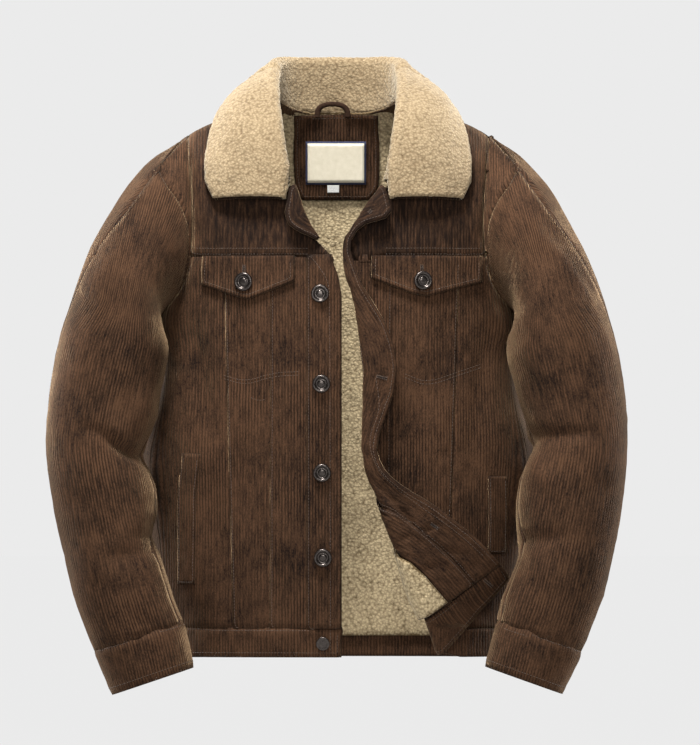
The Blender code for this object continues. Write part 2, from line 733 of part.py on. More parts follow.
# The lower edge of the shoulder wedge, as a ring for each angle round the front
WEDGE = table("angle ring", (0.3, 1.9), (0.8, 1.75), (1.3, 1.35), (1.7, 1.0), (2.1, 0.7), (2.5, 0.42), (3.13, 0.02))
WEDGE_COLUMNS = 7
# Folds of each sleeve in front, from a deep end at the inner side to a shallow end, with depth and half width
FOLD_NAMES = "x0 z0 x1 z1 depth width"
LEFT_FOLDS = table(FOLD_NAMES, (-232, -402, -262, -382, 9, 9), (-214, -512, -250, -516, 6, 9))
RIGHT_FOLDS = table(FOLD_NAMES, (229, -378, 268, -377, 9, 9), (212, -502, 250, -496, 6, 9))


def armhole_point(side, angle):
    """A point of the armhole seam: 0 at the shoulder, a quarter turn in front, half a turn under the arm."""
    share = (1 - np.cos(angle)) / 2
    top = at(SHOULDER, "z", at(ARMHOLE, "front", -30) + ARM_GAP)
    z = top + (UNDERARM_Z + ARM_GAP - top) * share
    front = np.sin(angle) >= 0
    x = np.where(front, at(ARMHOLE, "front", z), at(ARMHOLE, "back", z)) + ARM_GAP
    return on_body(side * x, z, np.where(front, -1.0, 1.0))


def sleeve_ring(side, rings, ring, angle):
    """A point of the plain sleeve, with no folds. The first rings grow out of the armhole seam."""
    outer = np.stack([at(rings, "outer_x", ring), 0 * ring, at(rings, "outer_z", ring)], -1)
    inner = np.stack([at(rings, "inner_x", ring), 0 * ring, at(rings, "inner_z", ring)], -1)
    swell = 1 + 0.05 * np.sin(2 * angle) ** 2
    point = (outer + inner) / 2 + (outer - inner) / 2 * (np.cos(angle) * swell)[..., None]
    depth = at(rings, "half_depth", ring) * np.sin(angle) * swell
    bow = at(rings, "bow", ring) * np.sin(angle) ** 2
    point = point + np.stack([-side * bow, at(rings, "middle", ring) - depth, 0 * ring], -1)
    joined = ease(ring, 0, 2.8)[..., None]
    return armhole_point(side, angle) * (1 - joined) + point * joined


def sleeve_point(side, rings, folds, ring, angle, out=0.0):
    """A point of the sleeve with its folds, moved out along the surface's normal."""
    ring, angle = np.broadcast_arrays(np.asarray(ring, float), np.asarray(angle, float))
    point = sleeve_ring(side, rings, ring, angle)
    round_way = sleeve_ring(side, rings, ring, angle + 0.02) - sleeve_ring(side, rings, ring, angle - 0.02)
    last = rings["ring"][-1]
    below = sleeve_ring(side, rings, np.minimum(ring + 0.05, last), angle)
    down = below - sleeve_ring(side, rings, np.maximum(ring - 0.05, 0), angle)
    normal = np.cross(round_way, down)
    normal = normal / np.maximum(np.linalg.norm(normal, axis=-1, keepdims=True), 1e-9) * -side
    sunk = np.zeros(ring.shape)
    for x0, z0, x1, z1, depth, width in zip(*folds.values()):
        start = np.array([x0, z0])
        run = np.array([x1, z1]) - start
        place = point[..., [0, 2]] - start
        share = np.clip((place @ run) / (run @ run), -0.6, 1)
        apart = np.linalg.norm(place - share[..., None] * run, axis=-1)
        front = ease(-normal[..., 1], -0.3, 0.4)
        sunk += depth * np.exp(-((apart / width) ** 2)) * (1 - ease(share, 0, 1)) * front
    return point + normal * (out - sunk)[..., None]


# Rows of the sleeve pieces, closer together at the shoulder and the elbow
SLEEVE_ROWS = (0.02, 0.5, 1.1, 1.8, 2.6, 3.5, 5, 6.5, 8, 9.2, 10.2, 11, 11.8, 12.8, 14, 15, 16, 17, 17.996)
WEDGE_ROW = 3.5


def build_sleeves():
    """For each sleeve: the shoulder wedge, the front and back pieces and the cuff."""
    sleeves = ((-1, "left", LEFT_SLEEVE, LEFT_FOLDS), (1, "right", RIGHT_SLEEVE, RIGHT_FOLDS))
    first = SLEEVE_ROWS[0]

    def shoulder_gap(ring):
        return 0.011 + 0.012 * (1 - ease(ring, 0, 3))

    def underarm_gap(ring):
        return 0.011 + 0.04 * (1 - ease(ring, 0, 5))

    rows = np.array(SLEEVE_ROWS)[:, None]
    share = np.linspace(0, 1, 8)[None, :]
    for side, name, rings, folds in sleeves:

        def piece(part, ring, angle, out, thickness, around=False):
            face = sleeve_point(side, rings, folds, ring, angle, out)
            above = sleeve_point(side, rings, folds, ring, angle, out + 1)
            cloth(f"{name}_{part}", CORDUROY, face, above, thickness, around)

        ring = rows + 0 * share
        outer = at(SLEEVE_SEAMS, "outer", ring) - shoulder_gap(ring)
        inner = at(SLEEVE_SEAMS, "inner", ring) + underarm_gap(ring)
        piece("sleeve_back", ring, inner + (outer + 2 * np.pi - inner) * share, 0.0, SHELL)

        def front(ring, share):
            outer = at(SLEEVE_SEAMS, "outer", ring) + shoulder_gap(ring)
            inner = at(SLEEVE_SEAMS, "inner", ring) - underarm_gap(ring)
            return outer + (inner - outer) * share

        low = at(WEDGE, "ring", WEDGE["angle"][0] + (WEDGE["angle"][-1] - WEDGE["angle"][0]) * share)
        start = low + 2 * first
        upper = start + (WEDGE_ROW - start) * (ring - first) / (WEDGE_ROW - first)
        ring = np.where(ring < WEDGE_ROW, upper, ring)
        piece("sleeve_front", ring, front(ring, share), 0.0, SHELL)
        few = share[:, :WEDGE_COLUMNS]
        ring = first + (low[:, :WEDGE_COLUMNS] - 2 * first) * np.linspace(0, 1, 4)[:, None]
        piece("shoulder_wedge", ring, front(ring, few), 0.0, SHELL)
        angle = np.linspace(0, 2 * np.pi, 21)[None, :-1]
        ring = np.linspace(CUFF_RING + 0.006, CUFF_RING + 1, 3)[:, None]
        piece("cuff", ring + 0 * angle, angle + 0 * ring, 0.7, DOUBLE, True)


# Collar, from the middle of the back to each front end: the top of the roll, the outer edge's place on the body
# with its drop from the shoulder line (negative behind), its height over the body, and the leaf's swell
COLLAR = table(
    "way roll_x roll_y roll_z foot_x drop lift swell",
    (0.00, 0, 96, 63, 0, -52, 12, 4),
    (0.12, 36, 92, 63, 46, -50, 12, 5),
    (0.24, 63, 73, 63, 90, -38, 12, 7),
    (0.36, 73.5, 38, 58, 124, -18, 11, 11),
    (0.44, 74, 4, 48, 135, -3, 10, 12),
    (0.52, 73, -36, 27, 141, 2, 9.5, 12),
    (0.62, 70, -70, -3, 147, 13, 9.5, 11),
    (0.73, 66.5, -89, -28, 152, 33, 9.5, 9),
    (0.84, 62.5, -101, -52, 154, 59, 9.5, 8),
    (0.93, 60.5, -107, -74, 151, 80, 9.5, 7),
    (1.00, 64, -112, -99, 144, 93, 9.5, 6),
)
COLLAR_WAYS = (0, 0.08, 0.16, 0.24, 0.31, 0.38, 0.45, 0.52, 0.6, 0.69, 0.78, 0.89, 1)
COLLAR_SHARES = (0.0, 0.1, 0.2, 0.2625, 0.325, 0.3875, 0.45, 0.62, 0.81, 1.0)
COLLAR_SEAT = 2.5
UNDER_GAP = 1.2
# Shares of the way across the collar where the stand ends and the leaf begins
STAND_END = 0.2
LEAF_START = 0.45


def unit(vector):
    return vector / np.maximum(np.linalg.norm(vector, axis=-1, keepdims=True), 1e-9)


def dot(first, second):
    return np.sum(first * second, -1, keepdims=True)


def collar_lines(size):
    """The roll, the outer edge and the sewn edge of the collar's right half."""
    roll = np.stack([at(COLLAR, "roll_" + axis, size) for axis in "xyz"], -1)
    drop = at(COLLAR, "drop", size)
    foot = at(COLLAR, "foot_x", size)
    edge = on_body(foot, at(SHOULDER, "z", foot) - np.abs(drop), np.where(drop < 0, 1.0, -1.0),
                   at(COLLAR, "lift", size))
    seat = COLLAR_SEAT * (ease(size, 0.26, 0.46) + ease(size, 0.7, 0.95))
    seam = neck_seam(np.maximum(size, 1e-6), seat)
    return roll, edge, seam


def collar_point(way, share, out):
    """A point of the collar: share 0 at the neck seam, 1 at the outer edge. Out 0 is the face of the pile."""
    way, share = np.broadcast_arrays(np.asarray(way, float), np.asarray(share, float))
    size = np.abs(way)
    mirror = np.where(way < 0, -1.0, 1.0)
    roll, edge, seam = collar_lines(size)
    ahead = collar_lines(np.minimum(size + 0.01, 1))[0]
    behind = collar_lines(np.maximum(size - 0.01, 0))[0]
    behind = np.where(size[..., None] < 0.01, ahead * (-1, 1, 1), behind)
    along = unit(ahead - behind)
    fall = unit(edge - roll - along * dot(edge - roll, along))
    stand = unit(seam - roll - along * dot(seam - roll, along))
    top = unit(-(fall + stand))
    across = unit(fall - stand)
    centre = roll - top * COLLAR_ROLL
    radius = COLLAR_ROLL + out
    half = (np.pi - np.arccos(np.clip(dot(fall, stand), -1, 1))) / 2
    turn = ((share - STAND_END) / (LEAF_START - STAND_END) * 2 - 1)[..., None] * half
    rolled = centre + radius * (np.cos(turn) * top + np.sin(turn) * across)
    leaf_out = unit(np.cross(along, fall))
    leaf_out = leaf_out * np.sign(dot(leaf_out, across))
    stand_out = unit(np.cross(along, stand))
    stand_out = stand_out * -np.sign(dot(stand_out, across))
    share = share[..., None]
    low = seam + (roll - seam) * 0.02 + stand_out * out
    high = centre + radius * (np.cos(half) * top - np.sin(half) * across)
    standing = low + (high - low) * np.clip(share / STAND_END, 0, 1)
    start = centre + radius * (np.cos(half) * top + np.sin(half) * across)
    part = np.clip((share - LEAF_START) / (1 - LEAF_START), 0, 1)
    swell = at(COLLAR, "swell", size)[..., None] * np.sin(np.pi * part)
    leaf = start + (edge + leaf_out * out - start) * part + leaf_out * swell
    point = np.where(share < STAND_END, standing, np.where(share < LEAF_START, rolled, leaf))
    return point * np.stack([mirror, 1 + 0 * mirror, 1 + 0 * mirror], -1)


def offset(points, outside, distance):
    """A grid of points moved along its normals, towards the outside points."""
    across = np.gradient(points, axis=1)
    down = np.gradient(points, axis=0)
    normal = unit(np.cross(across, down))
    normal = normal * np.sign(dot(normal, outside - points))
    return points + normal * distance


def build_collar():
    """The pile collar, and the corduroy under collar inside its roll."""
    half = np.array(COLLAR_WAYS)
    ways = np.concatenate([-half[:0:-1], half])
    share, way = np.meshgrid(COLLAR_SHARES, ways)
    face = collar_point(way, share, 0.0)
    above = collar_point(way, share, 1.0)
    cloth("collar", PILE_CLOTH, face, above, COLLAR_PILE)
    face = offset(face, above, -(COLLAR_PILE + UNDER_GAP))[:, 1:]
    cloth("under_collar", CORDUROY, face, offset(face, above[:, 1:], 1.0), UNDER_COLLAR)


# Pocket flaps and welts as seen from the front
FLAPS = table("side left right point left_z right_z point_z", (-1, -157.8, -50.5, -107, -201, -196.5, -219),
              (1, 38.5, 167, 97.8, -193, -197.7, -215.5))
FLAP_CLOTH = 2.2
WELT_CLOTH = 1.2
WELT_WIDTH = 21.0
LEFT_WELT = ((-181.5, -398), (-187.5, -446), (-188, -551))
RIGHT_WELT = ((197, -425), (197.5, -470), (196, -515))


def build_pockets():
    """A pointed flap and a welt on each front, lying on the panels."""
    for side, left, right, tip, left_z, right_z, tip_z in zip(*FLAPS.values()):
        name = "left" if side < 0 else "right"
        x = np.linspace(left, right, 9)[None, :]
        before = left_z + (tip_z - left_z) * (x - left) / (tip - left)
        after = tip_z + (right_z - tip_z) * (x - tip) / (right - tip)
        v = np.linspace(0, 1, 4)[:, None]
        z = YOKE_Z + (np.where(x < tip, before, after) - YOKE_Z) * v
        on_torso(f"{name}_pocket_flap", CORDUROY, np.stack([x + 0 * v, z], -1), LAYER + FLAP_CLOTH, FLAP_CLOTH)
    for side, name, line in ((-1, "left", LEFT_WELT), (1, "right", RIGHT_WELT)):
        heights = np.linspace(line[0][1], line[-1][1], 8)[:, None]
        x = line_x(line, heights) - side * WELT_WIDTH * np.linspace(0, 1, 4)[None, :]
        on_torso(f"{name}_welt", CORDUROY, np.stack([x, heights + 0 * x], -1), LAYER + WELT_CLOTH, WELT_CLOTH)


# Button profiles, as shares of the radius and height in millimetres
DISHED = ((0.5, 0), (0.9, 0.3), (1, 1.8), (0.95, 3.4), (0.86, 4), (0.76, 3.7), (0.66, 2.5), (0, 2.2))
FLAT = ((0.5, 0), (0.9, 0.2), (1, 1), (0.95, 1.8), (0.7, 2.2), (0, 2.2))


def button(name, x, z, out, radius, profile):
    """A turned button on the front, with its back at out from the torso."""
    mesh = bpy.data.meshes.new(name)
    verts = [(0, 0, 0)] + [(radius * share * MM, 0, height * MM) for share, height in profile]
    mesh.from_pydata(verts[::-1], [(i, i + 1) for i in range(len(verts) - 1)], [])
    obj = bpy.data.objects.new(name, mesh)
    obj.data.materials.append(GUNMETAL)
    JACKET.objects.link(obj)
    screw = obj.modifiers.new("Turn", "SCREW")
    screw.steps = BUTTON_STEPS
    screw.render_steps = BUTTON_STEPS
    screw.use_merge_vertices = True
    screw.merge_threshold = 0.00001
    point = on_body(x, z, -1, out)
    obj.location = point * MM
    obj.rotation_mode = "QUATERNION"
    obj.rotation_quaternion = Vector(on_body(x, z, -1, out + 1) - point).to_track_quat("Z", "Y")


def build_buttons():
    """Four buttons on the placket, a snap on the hem band and a button on each flap."""
    gap = 0.4
    for index, (x, z) in enumerate(((-21, -211.5), (-19.5, -316.7), (-18.6, -420.8), (-17.7, -520))):
        button(f"placket_button_{index + 1}", x, z, PLACKET_RAISE + gap, BUTTON_R, DISHED)
    button("hem_snap", -17.7, -620.5, (DOUBLE - SHELL) / 2 + gap, SNAP_R, FLAT)
    button("left_flap_button", -109.7, -197.7, LAYER + FLAP_CLOTH + gap, FLAP_BUTTON_R, DISHED)
    button("right_flap_button", 98.6, -196.3, LAYER + FLAP_CLOTH + gap, FLAP_BUTTON_R, DISHED)


LOOP_RADIUS = 2.3
LOOP_MIDDLE = (-6.5, 79.0)
LOOP_HALF_WIDTH = 14.5
LOOP_HEIGHT = 13.5


def build_loop():
    """The hanger loop, an arch of cord standing on the seam of the back neck."""
    curve = bpy.data.curves.new("hanger_loop", "CURVE")
    curve.dimensions = "3D"
    curve.bevel_depth = LOOP_RADIUS * MM
    curve.bevel_resolution = 2
    curve.use_fill_caps = True
    spline = curve.splines.new("POLY")
    turns = np.linspace(0, np.pi, 13)
    spline.points.add(len(turns) - 1)
    for point, turn in zip(spline.points, turns):
        x = LOOP_MIDDLE[0] - LOOP_HALF_WIDTH * np.cos(turn)
        z = 0.6 + LOOP_HEIGHT * np.sin(turn) ** 0.8
        point.co = (x * MM, LOOP_MIDDLE[1] * MM, z * MM, 1)
    obj = bpy.data.objects.new("hanger_loop", curve)
    obj.data.materials.append(CORDUROY)
    JACKET.objects.link(obj)


clear_scene()
JACKET = bpy.data.collections.new("Corduroy jacket")
bpy.context.scene.collection.children.link(JACKET)
CORDUROY = material("Brown corduroy", (84, 62, 46), 0.85)
PILE_CLOTH = material("Tan pile", (193, 172, 136), 0.95)
GUNMETAL = material("Gunmetal button", (62, 60, 60), 0.3, 0.8)
NAVY = material("Navy label edge", (40, 44, 70), 0.8)
CREAM = material("Cream label", (226, 218, 196), 0.8)
WHITE = material("White tab", (232, 232, 228), 0.8)
build_fronts()
build_left_edge()
build_right_edge()
build_hem_bands()
build_back()
build_inside()
build_sleeves()
build_collar()
build_pockets()
build_buttons()
build_loop()
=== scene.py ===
"""Corduroy jacket with a pile collar and lining: its cloth, stitching, buttons, labels and stage.

Sizes are in millimetres until a mesh is made. X runs to the viewer's right, the front faces -Y and Z is up.
"""

import math

import bmesh
import bpy
import numpy as np
from mathutils import Matrix, Vector, kdtree
from mathutils.bvhtree import BVHTree


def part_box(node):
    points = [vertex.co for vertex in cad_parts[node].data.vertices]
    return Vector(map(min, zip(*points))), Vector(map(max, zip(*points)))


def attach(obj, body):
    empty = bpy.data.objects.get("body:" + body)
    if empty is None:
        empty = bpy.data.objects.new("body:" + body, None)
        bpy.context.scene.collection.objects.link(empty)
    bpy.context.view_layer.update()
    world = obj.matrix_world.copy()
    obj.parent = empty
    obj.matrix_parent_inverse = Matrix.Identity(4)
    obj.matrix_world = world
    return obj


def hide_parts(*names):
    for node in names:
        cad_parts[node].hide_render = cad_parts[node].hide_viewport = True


bl_info = {
    "name": "Corduroy Jacket",
    "version": (1, 0, 0),
    "blender": (4, 5, 0),
    "location": "View3D > Sidebar > Jacket",
    "description": "Dresses the jacket's solids in corduroy, pile, stitching and buttons",
    "category": "Add Mesh",
}

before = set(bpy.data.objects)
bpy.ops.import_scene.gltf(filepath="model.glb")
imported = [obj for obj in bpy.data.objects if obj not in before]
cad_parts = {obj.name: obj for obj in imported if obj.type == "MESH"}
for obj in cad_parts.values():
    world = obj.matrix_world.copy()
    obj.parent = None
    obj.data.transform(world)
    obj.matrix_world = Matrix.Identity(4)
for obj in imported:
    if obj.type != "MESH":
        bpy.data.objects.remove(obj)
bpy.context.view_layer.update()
MM = 0.001
SIDES = ("left", "right")


class JacketCloth(bpy.types.PropertyGroup):
    """Sizes and colours of the cloth."""

    wale: bpy.props.FloatProperty(
        name="Wale", description="From one cord of the corduroy to the next, in millimetres", default=3.6, min=1)
    nub: bpy.props.FloatProperty(
        name="Nub", description="From one curl of the pile to the next, in millimetres", default=3.2, min=2)
    nub_height: bpy.props.FloatProperty(
        name="Nub height", description="How far the curls of the pile stand up, in millimetres", default=0.7, min=0)
    stitch: bpy.props.FloatProperty(
        name="Stitch", description="From one stitch to the next, in millimetres", default=3.6, min=1)
    crown: bpy.props.StringProperty(name="Cord", description="Colour of the cords", default="533A28")
    # The groove colour is painted shade down between the cords
    groove: bpy.props.StringProperty(name="Groove", description="Colour between the cords", default="150B06")
    thread: bpy.props.StringProperty(name="Thread", description="Colour of the topstitching", default="523D2B")
    curl: bpy.props.StringProperty(name="Curl", description="Colour of the pile's curls", default="AB9777")
    # The lining colour is painted light: lighter than the collar's, standing in for the light that hardly reaches the
    # lining inside
    lining: bpy.props.StringProperty(
        name="Lining", description="Colour of the lining's curls, less worn than the collar's", default="E2CCA3")
    # The root colour is painted shade down between the curls
    root: bpy.props.StringProperty(name="Root", description="Colour between the curls", default="5E4B34")


class JacketStage(bpy.types.PropertyGroup):
    """The camera and the light."""

    distance: bpy.props.FloatProperty(
        name="Distance", description="From the camera to the jacket", default=25.0, min=1, unit="LENGTH")
    key: bpy.props.FloatProperty(name="Key", description="Power of the main soft light", default=95, min=0)
    floor: bpy.props.StringProperty(
        name="Floor", description="Colour of the floor and of the room round it", default="EBEBEB")


PLAIN = {"parts": 4, "thick": 1.8, "facing": "front", "grain": "body", "look": "corduroy", "held": "hung"}


def piece(node, *on, **special):
    """A piece of cloth: its node, what it is sewn to or lies on, and what sets it apart from a plain yoke of the
    front. Parts is how finely its solid is divided, thick its thickness in millimetres, facing the way its shown
    face looks and grain the way its cords run."""
    return {**PLAIN, "node": node, "on": on, **special}


PIECES = [
    piece("back_yoke", facing="back"),
    *(piece(f"{side}_front_yoke", "back_yoke") for side in SIDES),
    *(piece(f"{side}_front_{part}_panel", f"{side}_front_yoke", parts=fine)
      for side, part, fine in (
          ("left", "inner", 6), ("left", "middle", 6), ("left", "side", 6),
          ("right", "inner", 4), ("right", "middle", 4), ("right", "side", 6))),
    piece("left_placket", "left_front_inner_panel", parts=6, thick=3.2),
    piece("left_front_corner", "left_front_yoke", parts=3, thick=3.2, grain="edge", look="pressed", held="folded"),
    piece("right_placket", "right_front_inner_panel", thick=3.2, grain="edge", look="pressed", held="folded"),
    piece("right_inner_facing", "right_front_inner_panel", thick=1.5, grain="edge", look="pressed", held="laid"),
    piece("left_hem_band", "left_front_middle_panel", thick=3.2),
    piece("right_hem_band", "right_front_middle_panel", thick=3.2, grain="hem", held="folded"),
    piece("back_hem_band", "back_centre_panel", parts=5, thick=3.2, facing="back"),
    *(piece(f"{part}_panel", "back_yoke", parts=6, facing="back")
      for part in ("back_centre", "left_back", "right_back")),
    piece("neck_panel", "back_lining", thick=1.5, held="laid"),
    *(piece(f"{side}_pocket_flap", f"{side}_front_middle_panel", thick=2.2) for side in SIDES),
    *(piece(f"{side}_welt", f"{side}_front_side_panel", thick=1.2, held="laid") for side in SIDES),
    *(piece(f"{side}_{part}", under.format(side), parts=5, thick=thick, facing="out", grain=grain)
      for side in SIDES for part, under, thick, grain in (
          ("sleeve_front", "{}_front_yoke", 1.8, "sleeve"), ("sleeve_back", "back_yoke", 1.8, "under"),
          ("shoulder_wedge", "{}_front_yoke", 1.8, "body"), ("cuff", "{}_sleeve_front", 3.2, "ring"))),
    piece("under_collar", "back_yoke", parts=2, thick=1.5, facing="large", held="folded"),
    piece("collar", "under_collar", parts=12, thick=5.0, facing="large", look="pile", held="folded"),
    piece("back_lining", "back_yoke", parts=12, thick=2.8, look="painted_lit_pile"),
    piece("right_front_lining", "right_front_middle_panel", parts=14, thick=2.4, look="painted_lit_pile", held="laid"),
    piece("label", "neck_panel", thick=0.5, grain="flat", look="label_edge", held="laid"),
    piece("label_field", "label", thick=0.5, grain="flat", look="label_field", held="laid"),
    piece("size_tab", "neck_panel", parts=3, thick=0.5, grain="flat", look="white_tab", held="laid"),
]
CORDUROYS = ("corduroy", "pressed")
PILES = ("pile", "painted_lit_pile")
LOOKS = {
    "corduroy": "Cotton corduroy, eight wale", "pressed": "Cotton corduroy, pressed flat", "pile": "Curly pile",
    "painted_lit_pile": "Curly pile, painted_lighter", "label_edge": "Navy woven edge", "label_field": "Cream woven satin",
    "white_tab": "White woven tape"}
LYING = ("left_pocket_flap", "right_pocket_flap", "left_welt", "right_welt", "label", "label_field", "size_tab")

# Middle of a sleeve from the shoulder to the end of the cuff
SLEEVE_AXIS = (
    (208, -4, -66), (223, -20, -118), (237, -44, -172), (251, -76, -240), (268, -82, -303), (286, -88, -384),
    (271, -93, -466), (251, -98, -565), (217, -99, -663))

# Free edge of the turned-back front as seen from the front, and of the turned corner of the other side
RIGHT_EDGE = (
    (61.5, -115), (54, -124), (38, -128), (26, -133), (16, -147), (14, -161), (21, -182), (27, -200), (40, -222),
    (56, -248), (66, -279), (68.4, -307), (61, -338), (50.5, -368), (45, -392), (54, -417), (77, -438),
    (111, -458), (137, -478), (160, -496), (178, -516), (189, -528), (199, -544))
LEFT_EDGE = ((-61.5, -70), (-61.5, -116), (-58, -129), (-45, -139), (-33.5, -144), (-24.5, -149), (-10, -160))

# Main creases by part (0 the body, -1 the left sleeve, 1 the right) and face (-1 in front), as seen from there:
# x and z of one end and of the other, depth (a ridge is negative) and half width
FOLDS = {
    (-1, -1): (
        (-236, -404, -274, -376, 7.0, 6), (-274, -376, -300, -366, 3.0, 8), (-224, -424, -268, -352, -3.0, 12),
        (-212, -512, -276, -522, 4.0, 9), (-226, -474, -262, -500, -2.4, 12), (-320, -446, -288, -470, 2.0, 9),
        (-222, -286, -246, -352, 2.4, 11), (-262, -196, -238, -300, 2.0, 14), (-206, -602, -244, -588, 2.2, 8),
        (-288, -552, -252, -560, 1.6, 9)),
    (1, -1): (
        (226, -378, 300, -374, 4.0, 8), (222, -402, 262, -448, -3.0, 12), (212, -500, 268, -494, 4.0, 9),
        (228, -522, 266, -556, -2.2, 12), (318, -430, 282, -452, 2.2, 9), (216, -292, 238, -352, 2.4, 11),
        (256, -200, 240, -296, 2.0, 14), (206, -596, 240, -602, 2.2, 8)),
    (-1, 1): (
        (-216, -392, -306, -400, 4.0, 12), (-220, -470, -300, -440, 2.6, 12), (-226, -300, -286, -330, 2.2, 13)),
    (1, 1): ((216, -388, 304, -402, 4.0, 12), (222, -466, 300, -444, 2.6, 12), (228, -306, 284, -326, 2.2, 13)),
    (0, -1): (
        (40, -429, 70, -460, 3.0, 4), (70, -460, 95, -487, 3.2, 4), (80, -470, 128, -524, -2.2, 5),
        (100, -489, 117, -480, 3.0, 3), (126, -510, 152, -516, 2.8, 3), (100, -534, 118, -527, 2.8, 3),
        (70, -500, 86, -493, 2.4, 3), (150, -536, 172, -520, 2.0, 3), (52, -300, 60, -352, 2.0, 5),
        (30, -206, 44, -252, 1.6, 4), (-172, -246, -150, -386, 3.4, 13), (-118, -232, -104, -330, 1.8, 11),
        (-150, -420, -128, -560, 2.2, 14), (-92, -470, -66, -590, 1.8, 13), (-60, -250, -46, -390, 1.4, 10),
        (176, -250, 160, -392, 3.4, 13), (124, -232, 118, -350, 1.8, 12), (152, -380, 176, -500, 2.2, 14),
        (96, -300, 92, -420, 1.6, 12), (150, -560, 176, -596, 1.8, 10), (-150, -96, -92, -126, 1.8, 13),
        (152, -96, 96, -124, 1.8, 13)),
    (0, 1): (
        (-168, -190, -128, -330, 3.4, 15), (168, -196, 132, -322, 3.4, 15), (-60, -300, -84, -480, 2.0, 16),
        (56, -280, 76, -500, 2.2, 16), (-8, -340, 10, -560, 1.8, 18), (-120, -76, -40, -96, 1.6, 14),
        (122, -82, 46, -92, 1.6, 14)),
}

# Where the panels of the sides bulge out: distance from the middle of the body, height, spread and how far
SWELLS = ((203, -246, 26, 9.0), (226, -395, 46, 6.5))
# Where the border of a piece runs on further under its neighbour: the ending of its name, from and to which
# distance from the middle of the body, from and to which height, and how far
TUCKS = (
    ("right_front_yoke", 8, 48, -172, -122, 8.0), ("right_front_inner_panel", 10, 50, -172, -164, 3.0),
    ("front_yoke", 166, 200, -60, 0, 2.6), ("back_yoke", 166, 200, -60, 10, 2.6),
    ("front_yoke", 74, 164, -34, 30, 5.0))

# Where soft cloth stands up past its solid: the piece, the heights between which it starts to and does so fully,
# how far to each side, and how much
LIFTS = (
    ("back_lining", -70, -6, 62, 9.5), ("neck_panel", -31, -9, 62, 8.5), ("collar", 28, 62, 200, 5.0),
    ("under_collar", 28, 57, 200, 5.0))

# Rows of topstitching beside seams: the piece they are sewn on, the pieces beyond the seams (an empty name for a
# free edge), and how far in from the border each row lies. A name with {} is there on each side.
SEAM_ROWS = (
    ("{}_front_yoke", ("{}_front_inner_panel", "{}_front_middle_panel", "{}_front_side_panel"), (2.4, 9.4)),
    ("{}_front_yoke", ("{}_sleeve_front", "{}_shoulder_wedge"), (3.0,)),
    ("{}_front_side_panel", ("{}_sleeve_front",), (3.0,)),
    ("{}_front_middle_panel", ("{}_front_side_panel",), (2.4,)),
    ("{}_front_inner_panel", ("{}_front_middle_panel",), (2.4,)),
    ("{}_placket", ("{}_front_inner_panel",), (2.6,)),
    ("left_hem_band", ("left_front_inner_panel", "left_front_middle_panel", "left_front_side_panel"), (4.4,)),
    ("left_hem_band", ("",), (5.5,)),
    ("left_front_corner", ("",), (3.6,)),
    ("right_placket", ("",), (4.2,)),
    ("right_inner_facing", ("right_placket",), (2.6,)),
    ("right_hem_band", ("right_front_middle_panel", "right_front_side_panel"), (4.4,)),
    ("right_hem_band", ("",), (4.6,)),
    ("{}_sleeve_back", ("{}_sleeve_front",), (2.6,)),
    ("{}_shoulder_wedge", ("{}_sleeve_front", "{}_sleeve_back"), (2.6,)),
    ("{}_cuff", ("{}_sleeve_front", "{}_sleeve_back"), (4.4,)),
    ("{}_cuff", ("",), (8.5,)),
    ("{}_back_panel", ("{}_front_side_panel",), (2.6,)),
    ("back_yoke", ("left_front_yoke", "right_front_yoke"), (3.0,)),
    ("back_yoke", ("back_centre_panel", "left_back_panel", "right_back_panel"), (2.4, 9.4)),
    ("back_centre_panel", ("left_back_panel", "right_back_panel"), (2.4,)),
    ("back_hem_band", ("back_centre_panel", "left_back_panel", "right_back_panel"), (4.4,)),
    ("back_hem_band", ("",), (5.5,)),
    ("neck_panel", ("",), (4.0,)),
    ("{}_pocket_flap", ("",), (5.2,)),
    ("{}_welt", ("",), (2.4,)),
)
# Rows sewn away from a seam, as seen from the front: points as (x, z)
DRAWN_ROWS = (
    ((-133.4, -307), (-107.3, -314.5), (-77.5, -304), (-42, -302.5)),
    ((-133.4, -311), (-107.3, -318.5), (-77.5, -308), (-42, -306.5)),
    ((-102, -333), (-92, -337), (-82, -334)),
    ((-32, -168), (-22, -180), (-12, -196), (-9.5, -214), (-9, -632)),
    ((78.4, -305.4), (103.8, -316), (140.4, -303), (168, -293.7)),
    ((78.4, -309.4), (103.8, -320), (140.4, -307), (168, -297.7)),
    ((44, -310), (50, -348), (34, -382), (46, -420), (84, -452), (136, -487), (172, -520)),
)
# Buttonholes as seen from the front: from end to end
BUTTONHOLES = (
    (-110, -178, -110, -186), (98, -178, 98, -185), (36, -117, 39, -114), (45, -308, 57, -311),
    (108.5, -480, 117, -486), (171, -546, 180, -554))

# Middle line of the hanger loop as (x from its middle, z)
HANGER_LOOP = ((-17.8, -4), (-17.8, 3), (-15.5, 8.6), (-8, 12), (0, 12.6), (8, 12), (15.5, 8.6), (17.8, 3), (17.8, -4))

# Turned profiles of the buttons: share of the radius, height in millimetres
DISHED = (
    (0.86, 0.0), (0.97, 0.5), (1.0, 1.5), (0.985, 2.6), (0.94, 3.4), (0.87, 3.85), (0.79, 3.85), (0.72, 3.5),
    (0.67, 2.8), (0.63, 1.9), (0.57, 1.4), (0.48, 1.3), (0.42, 1.45), (0.38, 1.95), (0.32, 2.4), (0.24, 2.6),
    (0.14, 2.7), (0.05, 2.72))
FLAT = ((0.86, 0.0), (0.97, 0.35), (1.0, 1.0), (0.97, 1.6), (0.88, 1.95), (0.78, 2.0), (0.7, 1.75), (0.5, 1.7),
        (0.34, 1.95), (0.14, 2.0))
BUTTONS = (
    *((f"placket_button_{number}", 10.6, DISHED) for number in (1, 2, 3, 4)),
    *((f"{side}_flap_button", 11.0, DISHED) for side in SIDES), ("hem_snap", 8.0, FLAT))


